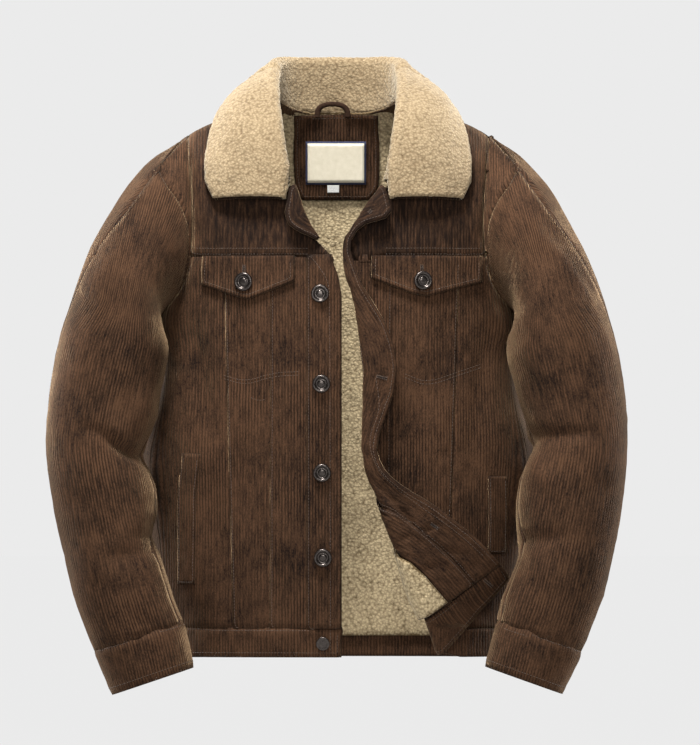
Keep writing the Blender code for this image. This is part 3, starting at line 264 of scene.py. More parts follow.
def linear(colour):
    """An sRGB hex colour as linear red, green, blue and alpha."""
    srgb = np.array([int(colour[i:i + 2], 16) for i in (0, 2, 4)]) / 255
    flat = np.where(srgb <= 0.04045, srgb / 12.92, ((srgb + 0.055) / 1.055) ** 2.4)
    return (*flat, 1.0)


def ease(value, low, high):
    """0 below low, 1 above high, and a smooth step between them."""
    share = np.clip((value - low) / (high - low), 0, 1)
    return share * share * (3 - 2 * share)


def unit(vector):
    """Vectors of length one."""
    return vector / np.maximum(np.linalg.norm(vector, axis=-1, keepdims=True), 1e-12)


def waves(points, length, seed, stretch=(1, 1, 1)):
    """A soft uneven field from -1 to 1, with waves of about that length."""
    chance = np.random.default_rng(seed)
    total, strongest = 0, 4.2
    for _ in range(7):
        way = unit(chance.normal(size=3)) * np.array(stretch) * chance.uniform(0.7, 1.4)
        total = total + np.sin(points @ way * (2 * np.pi / length) + chance.uniform(0, 6.28))
    return total / strongest


def curls(points, size):
    """How high the pile stands: 1 in the middle of a curl and 0 between curls."""
    place = points / size
    cell = np.floor(place)
    nearest = np.full((len(points), 2), 9.0)
    for step in np.ndindex(3, 3, 3):
        near = cell + np.array(step) - 1
        # each cell has its curl at an uneven place, the same in every run
        mixed = near @ np.array([[127.1, 269.5, 419.2], [311.7, 183.3, 371.9], [74.7, 246.1, 168.3]])
        middle = near + np.abs(np.sin(mixed) * 43758.5453) % 1
        apart = np.linalg.norm(place - middle, axis=1)
        closer = apart < nearest[:, 0]
        nearest[:, 1] = np.where(closer, nearest[:, 0], np.minimum(nearest[:, 1], apart))
        nearest[:, 0] = np.where(closer, apart, nearest[:, 0])
    gap = nearest[:, 1] - nearest[:, 0]
    return ease(gap, 0.0, 0.42) * (1 - 0.35 * nearest[:, 0])


# Cloth on the solids
def skins(node, thick):
    """Points of a solid in millimetres, and the triangles of its two broad faces, the larger first."""
    solid = bmesh.new()
    solid.from_mesh(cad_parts[node].data)
    bmesh.ops.remove_doubles(solid, verts=solid.verts, dist=1e-6)
    solid.faces.ensure_lookup_table()
    solid.verts.ensure_lookup_table()
    tree = BVHTree.FromBMesh(solid)
    # the wall is thin behind a broad face, and deep behind the narrow faces round its border
    deep = [tree.ray_cast(face.calc_center_median() - face.normal * 5e-5, -face.normal)[3] or 1.0
            for face in solid.faces]
    sizes = [face.calc_area() for face in solid.faces]
    best = (0, None)
    # the two faces part best with one of these limits: how thick a wall counts, and how sharply a face may turn
    for wall, limit in ((2.0, 78), (1.6, 66), (1.3, 55), (1.6, 45)):
        seen = {face.index for face in solid.faces if deep[face.index] > (wall * thick + 0.6) * MM}
        groups = []
        for first in solid.faces:
            if first.index in seen:
                continue
            seen.add(first.index)
            group = [first]
            for face in group:
                for edge in face.edges:
                    for other in edge.link_faces:
                        if other.index not in seen and face.normal.angle(other.normal, 0) < math.radians(limit):
                            seen.add(other.index)
                            group.append(other)
            groups.append((sum(sizes[face.index] for face in group), group))
        groups.sort(key=lambda pair: -pair[0])
        if groups[1][0] > best[0] * 1.03:
            best = (groups[1][0], groups)
    points = np.array([v.co for v in solid.verts]) / MM
    found = [np.array([[v.index for v in face.verts] for face in group]) for _, group in best[1][:2]]
    solid.free()
    return points, found


def sleeve_frame():
    """Close points along the middle of the right sleeve, with the way down it as seen from the front and the
    length run there."""
    knots = np.array(SLEEVE_AXIS, float)
    keys = np.arange(len(knots))
    fine = np.linspace(0, len(knots) - 1, 90)
    line = np.stack([np.interp(fine, keys, knots[:, i]) for i in range(3)], -1)
    for _ in range(12):
        line[1:-1] = (line[:-2] + 2 * line[1:-1] + line[2:]) / 4
    way = unit(np.gradient(line * (1, 0, 1), axis=0))
    run = np.concatenate([[0], np.cumsum(np.linalg.norm(np.diff(line, axis=0), axis=1))])
    return line, way, run


AXIS, AXIS_WAY, AXIS_RUN = sleeve_frame()


def tree_of(points):
    """A tree for finding the nearest of some points."""
    tree = kdtree.KDTree(len(points))
    for i, place in enumerate(points):
        tree.insert(place, i)
    tree.balance()
    return tree


def round_sleeve(points, side):
    """For points of a sleeve: the way round it, 0 outside and a quarter turn in front, how far down it they
    are, and the direction and distance out from its middle."""
    mirrored = points * (side, 1, 1)
    tree = tree_of(AXIS * (1, 0, 1))
    near = np.array([tree.find(p)[1] for p in mirrored * (1, 0, 1)])
    way = AXIS_WAY[near]
    off = mirrored - AXIS[near]
    down = AXIS_RUN[near] + np.sum(off * way, 1)
    off = off - way * np.sum(off * way, 1, keepdims=True)
    out = off[:, 0] * -way[:, 2] + off[:, 2] * way[:, 0]
    turn = np.arctan2(-off[:, 1], out)
    return turn, down, unit(off) * (side, 1, 1), np.linalg.norm(off, axis=1)


def along_edge(points, line):
    """For points as seen from the front: how far they are from a line, and how far along it."""
    line = np.array(line, float)
    best = np.full(len(points), 1e9)
    place = np.zeros(len(points))
    run = 0.0
    for start, end in zip(line[:-1], line[1:]):
        step = end - start
        length = np.linalg.norm(step)
        share = np.clip((points - start) @ step / length**2, 0, 1)
        apart = np.linalg.norm(points - start - share[:, None] * step, axis=1)
        closer = apart < best
        best = np.where(closer, apart, best)
        place = np.where(closer, run + share * length, place)
        run += length
    return best, place


# The body is an ellipse as seen from above: its half width and half depth, and the run of the cloth round it
HALF_WIDE, HALF_DEEP = 228, 112
TURNS = np.linspace(0, np.pi / 2, 300)
ROUND_X = HALF_WIDE * np.sin(TURNS)
ROUND_RUN = np.concatenate([[0], np.cumsum(np.hypot(np.diff(ROUND_X), np.diff(HALF_DEEP * np.cos(TURNS))))])

# Where the cut of each sleeve piece starts and has its middle, as turns round the sleeve
STARTS = {"sleeve": (-1.0, 1.57), "under": (1.5, 4.71), "ring": (0.0, 3.14)}
SECTIONS = {}
# Above this height the right hem band is turned back with its front
HEM_TURNED = -600


def section(side):
    """Half width and half depth of a sleeve at even steps down it."""
    if side not in SECTIONS:
        name = "left" if side < 0 else "right"
        points = np.concatenate([
            np.array([v.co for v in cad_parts[f"{name}_{part}"].data.vertices]) / MM
            for part in ("sleeve_front", "sleeve_back", "cuff")])
        turn, down, _, far = round_sleeve(points, side)
        steps = np.arange(20, AXIS_RUN[-1], 40)
        size = []
        for step in steps:
            near = np.abs(down - step) < 34
            size.append((np.abs(far * np.cos(turn))[near].max(), np.abs(far * np.sin(turn))[near].max()))
        SECTIONS[side] = (steps, *np.array(size).T)
    return SECTIONS[side]


def grain(points, kind, side):
    """Where each point lies on the flat cloth: across the cords and along them, in millimetres."""
    if kind in STARTS:
        start, middle = STARTS[kind]
        turn, down, _, _ = round_sleeve(points, side)
        steps, wide, deep = section(side)
        wide, deep = np.interp(down, steps, wide), np.interp(down, steps, deep)
        # length run round an ellipse, from its middle
        swing = np.arctan2(np.sin(turn) / deep, np.cos(turn) / wide)
        swing = (swing - start) % (2 * np.pi) + start
        mean, uneven = (deep**2 + wide**2) / 2, (deep**2 - wide**2) / 2
        run = np.sqrt(mean) * (swing - middle + uneven / (4 * mean) * np.sin(2 * swing))
        return np.stack([run, down], -1)
    seen = points[:, [0, 2]]
    wide = np.abs(seen[:, 0])
    # below the arms the cords run straight down round the side
    turned = np.arctan2(wide / HALF_WIDE, np.abs(points[:, 1]) / HALF_DEEP)
    at_side = ease(wide, 198, 222) * ease(-points[:, 2], 180, 230)
    run = (1 - at_side) * np.interp(wide, ROUND_X, ROUND_RUN) + at_side * np.interp(turned, TURNS, ROUND_RUN)
    body = np.stack([np.sign(seen[:, 0]) * run, seen[:, 1]], -1)
    if kind == "edge":
        line = RIGHT_EDGE if seen[:, 0].mean() > 0 else LEFT_EDGE
        return np.stack(along_edge(seen, line), -1)
    if kind == "hem":
        turned = np.stack(along_edge(seen, RIGHT_EDGE), -1)
        return np.where(seen[:, 1:] > HEM_TURNED, turned, body)
    return body


def creased(points, normals, part):
    """How far the main creases push each point in."""
    sunk = np.zeros(len(points))
    for face in (-1, 1):
        shown = ease(normals[:, 1] * face, 0.0, 0.5)
        for x0, z0, x1, z1, depth, width in FOLDS[part, face]:
            start = np.array([x0, z0], float)
            run = np.array([x1, z1]) - start
            place = points[:, [0, 2]] - start
            share = place @ run / (run @ run)
            apart = np.linalg.norm(place - np.clip(share, 0, 1)[:, None] * run, axis=1)
            fade = ease(share, -0.25, 0.3) * (1 - ease(share, 0.55, 1.25))
            sunk += depth * np.exp(-((apart / width) ** 2)) * fade * shown
    return sunk


def facing_of(corners):
    """For each triangle the way it faces, as long as twice its area."""
    return np.cross(corners[:, 1] - corners[:, 0], corners[:, 2] - corners[:, 0])


def divided(points, triangles, parts):
    """The triangles of a smooth face, each divided into smaller ones that follow the curve of the face."""
    corners = points[triangles]
    flat = facing_of(corners)
    normals = np.zeros_like(points)
    for corner in range(3):
        np.add.at(normals, triangles[:, corner], flat)
    normals = unit(normals)[triangles]
    places = [(i, j) for i in range(parts + 1) for j in range(parts + 1 - i)]
    index = {place: n for n, place in enumerate(places)}
    share = np.array([(i, j, parts - i - j) for i, j in places]) / parts
    level = np.einsum("qc,mcx->mqx", share, corners)
    above = np.einsum("mqcx,mcx->mqc", level[:, :, None] - corners[:, None], normals)
    curved = level - 0.5 * np.einsum("qc,mqc,mcx->mqx", share, above, normals)
    small = []
    for i, j in places:
        if i + j < parts:
            small.append((index[i + 1, j], index[i, j + 1], index[i, j]))
        if i + j < parts - 1:
            small.append((index[i + 1, j + 1], index[i, j + 1], index[i + 1, j]))
    faces = np.array(small)[None] + (np.arange(len(triangles)) * len(places))[:, None, None]
    return curved.reshape(-1, 3), faces.reshape(-1, 3)


def shown_face(points, found, facing, side):
    """The smooth face of a solid that looks the given way."""
    if facing == "large" or len(found) < 2:
        return found[0]
    scores = []
    for triangles in found:
        corners = points[triangles]
        if facing == "out":
            out = round_sleeve(corners.mean(1), side)[2]
        else:
            out = np.array([[0.0, -1.0 if facing == "front" else 1.0, 0.0]])
        scores.append(np.sum(facing_of(corners) * out))
    return found[int(np.argmax(scores))]


def new_object(name, points, faces, put_right):
    """An object of points in millimetres, its mesh put right by one step."""
    mesh = bpy.data.meshes.new(name)
    mesh.from_pydata((np.array(points) * MM).tolist(), [], faces)
    body = bmesh.new()
    body.from_mesh(mesh)
    put_right(body)
    body.to_mesh(mesh)
    body.free()
    obj = bpy.data.objects.new(name, mesh)
    bpy.context.scene.collection.objects.link(obj)
    return obj


def joined(body):
    """Merge the doubles of a mesh."""
    bmesh.ops.remove_doubles(body, verts=body.verts, dist=2e-6)


def outward(body):
    """Turn the faces of a mesh outwards."""
    bmesh.ops.recalc_face_normals(body, faces=body.faces)


def read(mesh):
    """A mesh's points in millimetres, its normals and its triangles."""
    points = np.empty(len(mesh.vertices) * 3)
    mesh.vertices.foreach_get("co", points)
    normals = np.empty(len(mesh.vertices) * 3, np.float32)
    mesh.vertex_normals.foreach_get("vector", normals)
    faces = np.empty(len(mesh.loops), np.int32)
    mesh.loops.foreach_get("vertex_index", faces)
    return points.reshape(-1, 3) / MM, normals.reshape(-1, 3).astype(float), faces.reshape(-1, 3)


def borders(points, normals, faces):
    """The closed border lines of a piece: their points, the way in from them over the cloth, and the normals."""
    after = {}
    for corner in range(3):
        for start, end in zip(faces[:, corner].tolist(), faces[:, corner - 2].tolist()):
            after[start, end] = True
    step = {start: end for start, end in after if (end, start) not in after}
    loops = []
    while step:
        first, end = step.popitem()
        chain = [first]
        while end in step:
            chain.append(end)
            end = step.pop(end)
        line = points[chain]
        way = np.roll(line, -1, 0) - np.roll(line, 1, 0)
        inward = unit(np.cross(normals[chain], way))
        loops.append((np.array(chain), line, inward, normals[chain]))
    return loops


def from_border(points, loops):
    """How far each point is from the border of its piece, and the length of the border."""
    if not loops:
        return np.full(len(points), 99.0), 0.0
    ends = [(line, np.roll(line, -1, 0)) for _, line, _, _ in loops]
    start, end = (np.concatenate(side) for side in zip(*ends))
    steps = np.linspace(0, 1, 4, endpoint=False)[:, None, None]
    tree = tree_of((start + (end - start) * steps).reshape(-1, 3))
    return np.array([tree.find(p)[2] for p in points]), float(np.linalg.norm(end - start, axis=1).sum())


def area(points, faces):
    """The area of a mesh."""
    return float(np.linalg.norm(facing_of(points[faces]), axis=1).sum()) / 2


def apply_modifiers(obj):
    """Apply an object's modifiers in order."""
    bpy.ops.object.select_all(action="DESELECT")
    obj.select_set(True)
    bpy.context.view_layer.objects.active = obj
    for modifier in list(obj.modifiers):
        bpy.ops.object.modifier_apply(modifier=modifier.name)
    obj.select_set(False)


# Borders of the corduroy pieces sewn so far
BORDERS = {}
# How far a free border and one under a seam run on, how near a neighbour's border is taken for a seam, on the
# fronts and at the sides, how far past it a side runs on, and how far it sinks there and in the armhole
FREE_RUN, SEAM_RUN = 0.8, 2.4
NEAR, NEAR_AT_SIDE = 6.5, 8.5
PAST = 2.2
SUNK, SUNK_IN_ARMHOLE = 1.5, 2.8
# Where the sides start and the hem band does, and the armhole: its lowest and highest point and how far out it is
SIDE_FROM, HEM_TOP = 150, -630
ARMHOLE_LOW, ARMHOLE_TOP, ARMHOLE_OUT = -236, -46, 196
# The flat cloth is a little smaller than its creased and puckered surface
SLACK = 0.98


def tucked(points, piece):
    """How far the points of a piece's border run on and how far they sink under the piece that was sewn before
    it. A sleeve sinks more where it is set into the armhole."""
    wide, high = np.abs(points[:, 0]), points[:, 2]
    run, sunk = np.full(len(points), FREE_RUN), np.zeros(len(points))
    before = [line for name in BORDERS if name not in LYING for line, _, _ in BORDERS[name]]
    if before and piece["held"] == "hung":
        tree = tree_of(np.concatenate(before))
        apart = np.array([tree.find(place)[2] for place in points])
        side = (wide > SIDE_FROM) & (high > HEM_TOP)
        under = apart < np.where(side, NEAR_AT_SIDE, NEAR)
        sleeve = piece["grain"] in ("sleeve", "under") or "wedge" in piece["node"]
        armhole = sleeve & (high > ARMHOLE_LOW) & (high < ARMHOLE_TOP) & (wide < ARMHOLE_OUT)
        top = sleeve & (high > ARMHOLE_TOP)
        run = np.where(under & ~top, np.maximum(SEAM_RUN, (apart + PAST) * side), FREE_RUN)
        sunk = np.where(armhole, SUNK_IN_ARMHOLE, SUNK) * under
    for ending, x0, x1, z0, z1, far in TUCKS:
        if piece["node"].endswith(ending):
            run = np.where((wide > x0) & (wide < x1) & (high > z0) & (high < z1), far, run)
    return run, sunk


def on_body(node):
    """Whether a piece belongs to the body rather than to a sleeve."""
    return not node.endswith(("sleeve_front", "sleeve_back", "wedge", "cuff"))


def broad_waves(points):
    """The soft waves that the shell and the lining behind it share, in millimetres."""
    return 1.2 * waves(points, 74, 5, (1.3, 0.6, 0.7))


def lifted(points, node):
    """The points of a piece, raised where its soft top stands up past its solid."""
    moved = points.copy()
    for name, low, high, wide, lift in LIFTS:
        if name == node:
            rising = ease(points[:, 2], low, high) * (1 - ease(np.abs(points[:, 0]), wide, wide + 12))
            moved[:, 2] += lift * rising * (points[:, 1] > 30)
    return moved


def wrinkled(piece, side, points, moved, normals, edge, loops):
    """Move the points of a corduroy piece as its cloth bulges and turns in at its seams, and say how far each
    point rises in creases and waves."""
    node = piece["node"]
    rise = -creased(points, normals, side if piece["grain"] in STARTS or "wedge" in node else 0)
    held = 1 if node in LYING else 1 - np.exp(-((edge / 5) ** 2))
    rise += broad_waves(points) * held
    if node not in LYING:
        # puckers along the seams, and the border rolled down into them
        rise += 1.1 * waves(points, 19, 8) * np.exp(-edge / 12) * held
        rise -= 0.6 * np.exp(-((edge / 2.4) ** 2))
        if node.endswith(("side_panel", "left_back_panel", "right_back_panel")):
            for x, z, spread, height in SWELLS:
                apart = np.hypot(np.abs(points[:, 0]) - x, points[:, 2] - z)
                moved[:, 0] += np.sign(points[:, 0]) * height * np.exp(-((apart / spread) ** 2))
        for chain, line, inward, _ in loops:
            run, sunk = tucked(line, piece)
            moved[chain] -= inward * run[:, None]
            rise[chain] -= sunk
    elif "flap" in node:
        # a flap's free edge curls up
        rise += 1.8 * np.exp(-((edge / 7) ** 2)) * ease(-points[:, 2], 168, 180)
    return rise


def fluffed(node, settings, points, normals, edge, nub):
    """How far each point of a pile piece rises: its curls, and for a lining the shell's creases and waves."""
    rise = settings.nub_height * (nub - 0.55) + 0.5 * waves(points, 38, 12)
    if "lining" in node:
        rise += creased(points, -normals, 0) + 0.4 - broad_waves(points)
    return rise - 1.4 * np.exp(-((edge / 2.2) ** 2))


def cut_size(piece, where, border, flat):
    """Width and length of the flat piece, from its area, the length of its border and its place on the cloth."""
    # sides of the oblong that has this border and area
    half = border / 4
    spare = math.sqrt(max(half**2 - flat, 0))
    size = (half - spare, half + spare)
    seen = tuple(where.max(0) - where.min(0))
    if piece["grain"] not in ("edge", "hem") and piece["held"] != "folded" and flat > 0.4 * seen[0] * seen[1]:
        size = seen
    # the size tab's cut runs on a little, under the label
    size = (max(size[0], 10.5), max(size[1], 10.5))
    return size[0] * max(1.0, flat / (size[0] * size[1]) * 1.001), size[1]


def dress(piece, settings, look):
    """Make one piece of cloth as a thin shell on its solid's form."""
    node = piece["node"]
    points, found = skins(node, piece["thick"])
    side = -1 if node.startswith("left") else 1
    points, faces = divided(points, shown_face(points, found, piece["facing"], side), piece["parts"])
    obj = new_object(f"{node}_cloth", points, faces.tolist(), joined)
    points, normals, faces = read(obj.data)
    loops = borders(points, normals, faces)
    edge, border = from_border(points, loops)
    where = grain(points, piece["grain"], side)
    moved = lifted(points, node)
    rise = np.zeros(len(points))
    if piece["look"] in PILES:
        nub = curls(points, 2.1 * settings.nub)
        store(obj.data, "nub", nub)
        rise = fluffed(node, settings, points, normals, edge, nub)
    elif piece["grain"] != "flat":
        rise = wrinkled(piece, side, points, moved, normals, edge, loops)
    moved += normals * rise[:, None]
    flat = area(points if piece["look"] in PILES else moved, faces) * SLACK
    if piece["look"] in CORDUROYS:
        BORDERS[node] = [(moved[chain], inward, normal) for chain, _, inward, normal in loops]
    obj.data.vertices.foreach_set("co", (moved * MM).ravel())
    store(obj.data, "edge", edge)
    # Painted shade of the collar on the front yokes, stored as the kept value
    under_collar = ease(points[:, 2], -186, -150) * ease(-np.abs(points[:, 0]), -176, -150)
    store(obj.data, "kept", under_collar * (points[:, 1] < 0))
    store_grain(obj.data, where, faces, piece["grain"] == "ring")
    obj.data.shade_smooth()
    obj.data.materials.append(look)
    solidify = obj.modifiers.new("Cloth", "SOLIDIFY")
    solidify.thickness = piece["thick"] * MM
    solidify.offset = -1
    solidify.use_quality_normals = True
    apply_modifiers(obj)
    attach(obj, "root")
    {"painted_lit_pile": "pile", "pressed": "corduroy"}.get(piece["look"], piece["look"])
    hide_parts(node)
    size = cut_size(piece, where, border, flat)
    [f"{name}_cloth" for name in piece["on"]]
    return obj, (node, round(size[0]), round(size[1]), round(flat / 100))


def store(mesh, name, values):
    """Keep a value at each point of a mesh."""
    kept = mesh.attributes.new(name, "FLOAT", "POINT")
    kept.data.foreach_set("value", np.asarray(values, np.float32))


def store_grain(mesh, where, faces, closed):
    """Keep the place on the flat cloth as a UV map, in millimetres."""
    corners = where[faces]
    if closed:
        full = np.ptp(where[:, 0])
        wide = corners[:, :, 0].max(1) - corners[:, :, 0].min(1) > full / 2
        corners[:, :, 0] += np.where(wide[:, None] & (corners[:, :, 0] < 0), full, 0)
    layer = mesh.uv_layers.new(name="Grain")
    layer.data.foreach_set("uv", corners.astype(np.float32).ravel())


# Materials
def new_node(tree, kind, links=(), **settings):
    """Add a node with its settings. Links are (socket of the node, where it comes from) pairs."""
    node = tree.nodes.new(kind)
    for name, value in settings.items():
        if name.startswith("in_"):
            node.inputs[int(name[3:])].default_value = value
        else:
            setattr(node, name, value)
    for socket, source in links:
        tree.links.new(source, node.inputs[socket])
    return node


def new_material(name, **settings):
    """A material with its shader's own settings."""
    made = bpy.data.materials.new(name)
    made.use_nodes = True
    shader = made.node_tree.nodes["Principled BSDF"]
    for socket, value in settings.items():
        shader.inputs[socket.replace("_", " ")].default_value = value
    return made, made.node_tree, shader


def math_node(tree, operation, *values):
    """A sum of two or three values, each a number or a socket."""
    node = tree.nodes.new("ShaderNodeMath")
    node.operation = operation
    for socket, value in zip(node.inputs, values):
        if isinstance(value, (int, float)):
            socket.default_value = value
        else:
            tree.links.new(value, socket)
    return node.outputs[0]


def scaled(tree, value, factor, more=0.0):
    """A value times a factor, and more."""
    return math_node(tree, "MULTIPLY_ADD", value, factor, more)


def added_up(tree, total, *parts):
    """A total of a number and some values, each times its factor."""
    for value, factor in parts:
        total = scaled(tree, value, factor, total)
    return total


def within(tree, value, low, high):
    """A value kept between two limits."""
    return math_node(tree, "MINIMUM", math_node(tree, "MAXIMUM", value, low), high)


def fading(tree, value, rate):
    """1 where a value is nothing, and less the higher it is."""
    return math_node(tree, "POWER", 2.7, scaled(tree, value, -rate))


def noise(tree, place, scale, detail, rough=0.5):
    """An uneven value from 0 to 1."""
    return new_node(tree, "ShaderNodeTexNoise", [(0, place)], in_2=scale, in_3=detail, in_4=rough).outputs[0]


def stored(tree, name):
    """A value kept at the points of a mesh."""
    return new_node(tree, "ShaderNodeAttribute", attribute_name=name).outputs["Fac"]


def on_object(tree):
    """The place on the piece, in metres."""
    return new_node(tree, "ShaderNodeTexCoord").outputs["Object"]


def coloured(tree, shader, tone, dark, light):
    """Colour a material from dark to light by its tone."""
    colour = new_node(tree, "ShaderNodeMix", [(0, tone)], data_type="RGBA", in_6=dark, in_7=light)
    tree.links.new(colour.outputs[2], shader.inputs["Base Color"])


def raised(tree, shader, height, strength, distance):
    """Give a material a relief."""
    bump = new_node(tree, "ShaderNodeBump", [("Height", height)], in_0=strength, in_1=distance)
    tree.links.new(bump.outputs[0], shader.inputs["Normal"])


def corduroy(settings, name, depth=1.0):
    """Cut-pile cotton with rounded cords: matt, with a soft sheen where it turns away, and grooves painted dark as
    shade. Its depth is less where the cords are pressed flat."""
    made, tree, shader = new_material(
        name, Roughness=0.85, Sheen_Weight=0.34, Sheen_Roughness=0.32, Sheen_Tint=linear("DFBB90"),
        Specular_IOR_Level=0.12)
    place = new_node(tree, "ShaderNodeUVMap", uv_map="Grain").outputs[0]
    across, along, _ = new_node(tree, "ShaderNodeSeparateXYZ", [(0, place)]).outputs
    solid = on_object(tree)
    # Cords that wander a little and are round on top
    turn = scaled(tree, scaled(tree, noise(tree, solid, 60.0, 2.0), 1.6, across), math.pi / settings.wale)
    cord = math_node(tree, "POWER", math_node(tree, "ABSOLUTE", math_node(tree, "SINE", turn)), 0.75)
    cord = scaled(tree, cord, depth, 0.6 * (1 - depth))
    # The cords are rubbed almost smooth in some places
    rubbed = within(tree, scaled(tree, noise(tree, solid, 17.0, 4.0, 0.6), 3.4, -1.35), 0.0, 0.75)
    cord = scaled(tree, rubbed, math_node(tree, "SUBTRACT", 0.72, cord), cord)
    # Short streaks and tufts along each cord, from crushed and worn nap
    streak, tuft = (
        noise(tree, new_node(tree, "ShaderNodeCombineXYZ", [
            (0, scaled(tree, across, wide)), (1, scaled(tree, along, long))]).outputs[0], 1.0, detail)
        for wide, long, detail in ((1 / settings.wale, 0.05, 3.0), (1.1, 0.3, 2.0)))
    blotch = noise(tree, solid, 14.0, 6.0, 0.68)
    nap = noise(tree, solid, 800.0, 2.0)
    edge = stored(tree, "edge")
    # Worn lighter close to the border of each piece
    worn = scaled(tree, fading(tree, edge, 0.45), 0.25)
    light = added_up(tree, -3.1, (streak, 2.1), (blotch, 2.5), (tuft, 1.9), (worn, blotch), (nap, 1.3))
    tone = math_node(tree, "MULTIPLY", cord, light)
    # Painted shade: darker on the yokes, where the collar would shade them, in patches along the streaks, and darker
    # in the seams
    kept = math_node(tree, "MULTIPLY", stored(tree, "kept"), scaled(tree, streak, -1.6, 1.42))
    tone = math_node(tree, "MULTIPLY", tone, scaled(tree, kept, -1.0, 0.97))
    # Painted shade: a narrow darker line along every border, where the cloth rolls down into its seam
    tone = math_node(tree, "MULTIPLY", tone, scaled(tree, fading(tree, edge, 1.0), -0.8, 1.0))
    # Painted shade: the cords' height sets their colour, from the groove colour down between them to the cord colour
    # on top
    coloured(tree, shader, tone, linear(settings.groove), linear(settings.crown))
    raised(tree, shader, added_up(tree, cord, (tuft, 0.6), (nap, 0.25)), 0.9, 0.0009)
    return made


def pile(settings, name, curl, root, rim_backing_and_shade):
    """Curly polyester pile: matt tufts, painted lighter on top and darker down between them as shade. The rim value is
    how dark its cut edges are: the backing showing at the cut, and painted shade along them."""
    made, tree, shader = new_material(
        name, Roughness=0.95, Sheen_Weight=0.35, Sheen_Roughness=0.5, Sheen_Tint=linear("FFF3DC"),
        Specular_IOR_Level=0.1)
    solid = on_object(tree)
    shifted = new_node(tree, "ShaderNodeTexNoise", [(0, solid)], in_2=260.0, in_3=2.0).outputs[1]
    bent = new_node(tree, "ShaderNodeVectorMath", [(0, shifted)], operation="SCALE", in_3=0.0022)
    place = new_node(tree, "ShaderNodeVectorMath", [(0, solid), (1, bent.outputs[0])], operation="ADD").outputs[0]
    nub, coil = (
        new_node(tree, "ShaderNodeTexVoronoi", [(0, place)], in_2=fine / (settings.nub * MM)).outputs[0]
        for fine in (1, 2.3))
    height = added_up(tree, 1.25, (coil, -0.35), (nub, -1.1))
    # Painted shade: darker down between the curls, from the root colour to the curl colour, and lighter on their tops
    tone = added_up(
        tree, -0.03, (height, 0.7), (stored(tree, "nub"), 0.08), (noise(tree, solid, 30.0, 3.0), 0.3),
        # painted shade along the cut edges, where the backing also shows
        (fading(tree, stored(tree, "edge"), 0.55), -rim_backing_and_shade))
    coloured(tree, shader, tone, linear(root), linear(curl))
    raised(tree, shader, height, 0.6, 0.0012)
    return made


def woven(name, light, dark, spacing=0.5):
    """Plain woven label cloth: fine crossing threads, slightly shiny. The threads are drawn coarser than real ones
    so that they show."""
    made, tree, shader = new_material(name, Roughness=0.6, Sheen_Weight=0.1)
    solid = on_object(tree)
    across, _, up = new_node(tree, "ShaderNodeSeparateXYZ", [(0, solid)]).outputs
    turn = 2 * math.pi / (spacing * MM)
    weave = math_node(tree, "MULTIPLY", *(math_node(tree, "SINE", scaled(tree, way, turn)) for way in (across, up)))
    tone = scaled(tree, weave, 0.2, noise(tree, solid, 180.0, 3.0))
    coloured(tree, shader, tone, linear(dark), linear(light))
    raised(tree, shader, weave, 0.5, 0.0002)
    return made


def thread(name, colour):
    """Polyester sewing thread: twisted, with a slight gloss."""
    made, tree, shader = new_material(name, Roughness=0.55, Sheen_Weight=0.2)
    full = linear(colour)
    shade = (*[value * 0.55 for value in full[:3]], 1)
    coloured(tree, shader, noise(tree, on_object(tree), 120.0, 2.0), shade, full)
    return made


def gunmetal():
    """Black-nickel plated zinc, turned: dark, glossy, its plating a little rubbed."""
    made, tree, shader = new_material("Black nickel plate", Metallic=0.95, Roughness=0.26)
    rubbed = noise(tree, on_object(tree), 500.0, 4.0)
    coloured(tree, shader, rubbed, linear("1B1817"), linear("6A625D"))
    raised(tree, shader, rubbed, 0.15, 0.0002)
    return made


def dark_slit():
    """The cut of a buttonhole: a dark strip laid in it as painted shade."""
    made, tree, shader = new_material("Painted buttonhole shade", Roughness=0.95)
    coloured(tree, shader, noise(tree, on_object(tree), 400.0, 2.0), linear("0E0906"), linear("1D130D"))
    return made


def rubbed_tube():
    """Turned tube of corduroy, its nap rubbed by use: matt and dark."""
    made, tree, shader = new_material("Corduroy tube", Roughness=0.9, Specular_IOR_Level=0.15)
    ribs = noise(tree, on_object(tree), 420.0, 3.0)
    coloured(tree, shader, ribs, linear("120A06"), linear("3E2A1D"))
    raised(tree, shader, ribs, 0.7, 0.0006)
    return made


def paper(floor):
    """Seamless studio paper: plain, pale and evenly lit, with its own glow so that it is as pale as asked."""
    made, _, shader = new_material("Studio paper", Roughness=1.0, Specular_IOR_Level=0.0, Emission_Strength=0.99)
    shader.inputs["Base Color"].default_value = (0.008, 0.008, 0.008, 1)
    shader.inputs["Emission Color"].default_value = linear(floor)
    return made


def finish_of(look, settings):
    """The material of a look, made the first time it is asked for."""
    makers = {
        "corduroy": lambda name: corduroy(settings, name),
        "pressed": lambda name: corduroy(settings, name, 0.45),
        "pile": lambda name: pile(settings, name, settings.curl, settings.root, 0.1),
        # The lining's pile, painted lighter than the collar's as light, with its cut edges painted darkest as shade
        "painted_lit_pile": lambda name: pile(settings, name, settings.lining, "5C4A30", 0.8),
        "label_edge": lambda name: woven(name, "2B3358", "141A33"),
        "label_field": lambda name: woven(name, "FBF1DA", "E3D8BB"),
        "white_tab": lambda name: woven(name, "F2F1EC", "CFCEC8")}
    return bpy.data.materials.get(LOOKS[look]) or makers[look](LOOKS[look])


def dress_all(context, wanted):
    """Dress the pieces whose looks or names are wanted, and print what each was cut to."""
    settings = context.scene.jacket_cloth
    done = 0
    for piece in PIECES:
        if wanted(piece):
            obj, size = dress(piece, settings, finish_of(piece["look"], settings))
            print("cut {}: {} x {} mm, {} square cm, {} faces".format(*size, len(obj.data.polygons)))
            done += 1
    if not done:
        raise RuntimeError("no piece of cloth was found to dress")
    return {"FINISHED"}


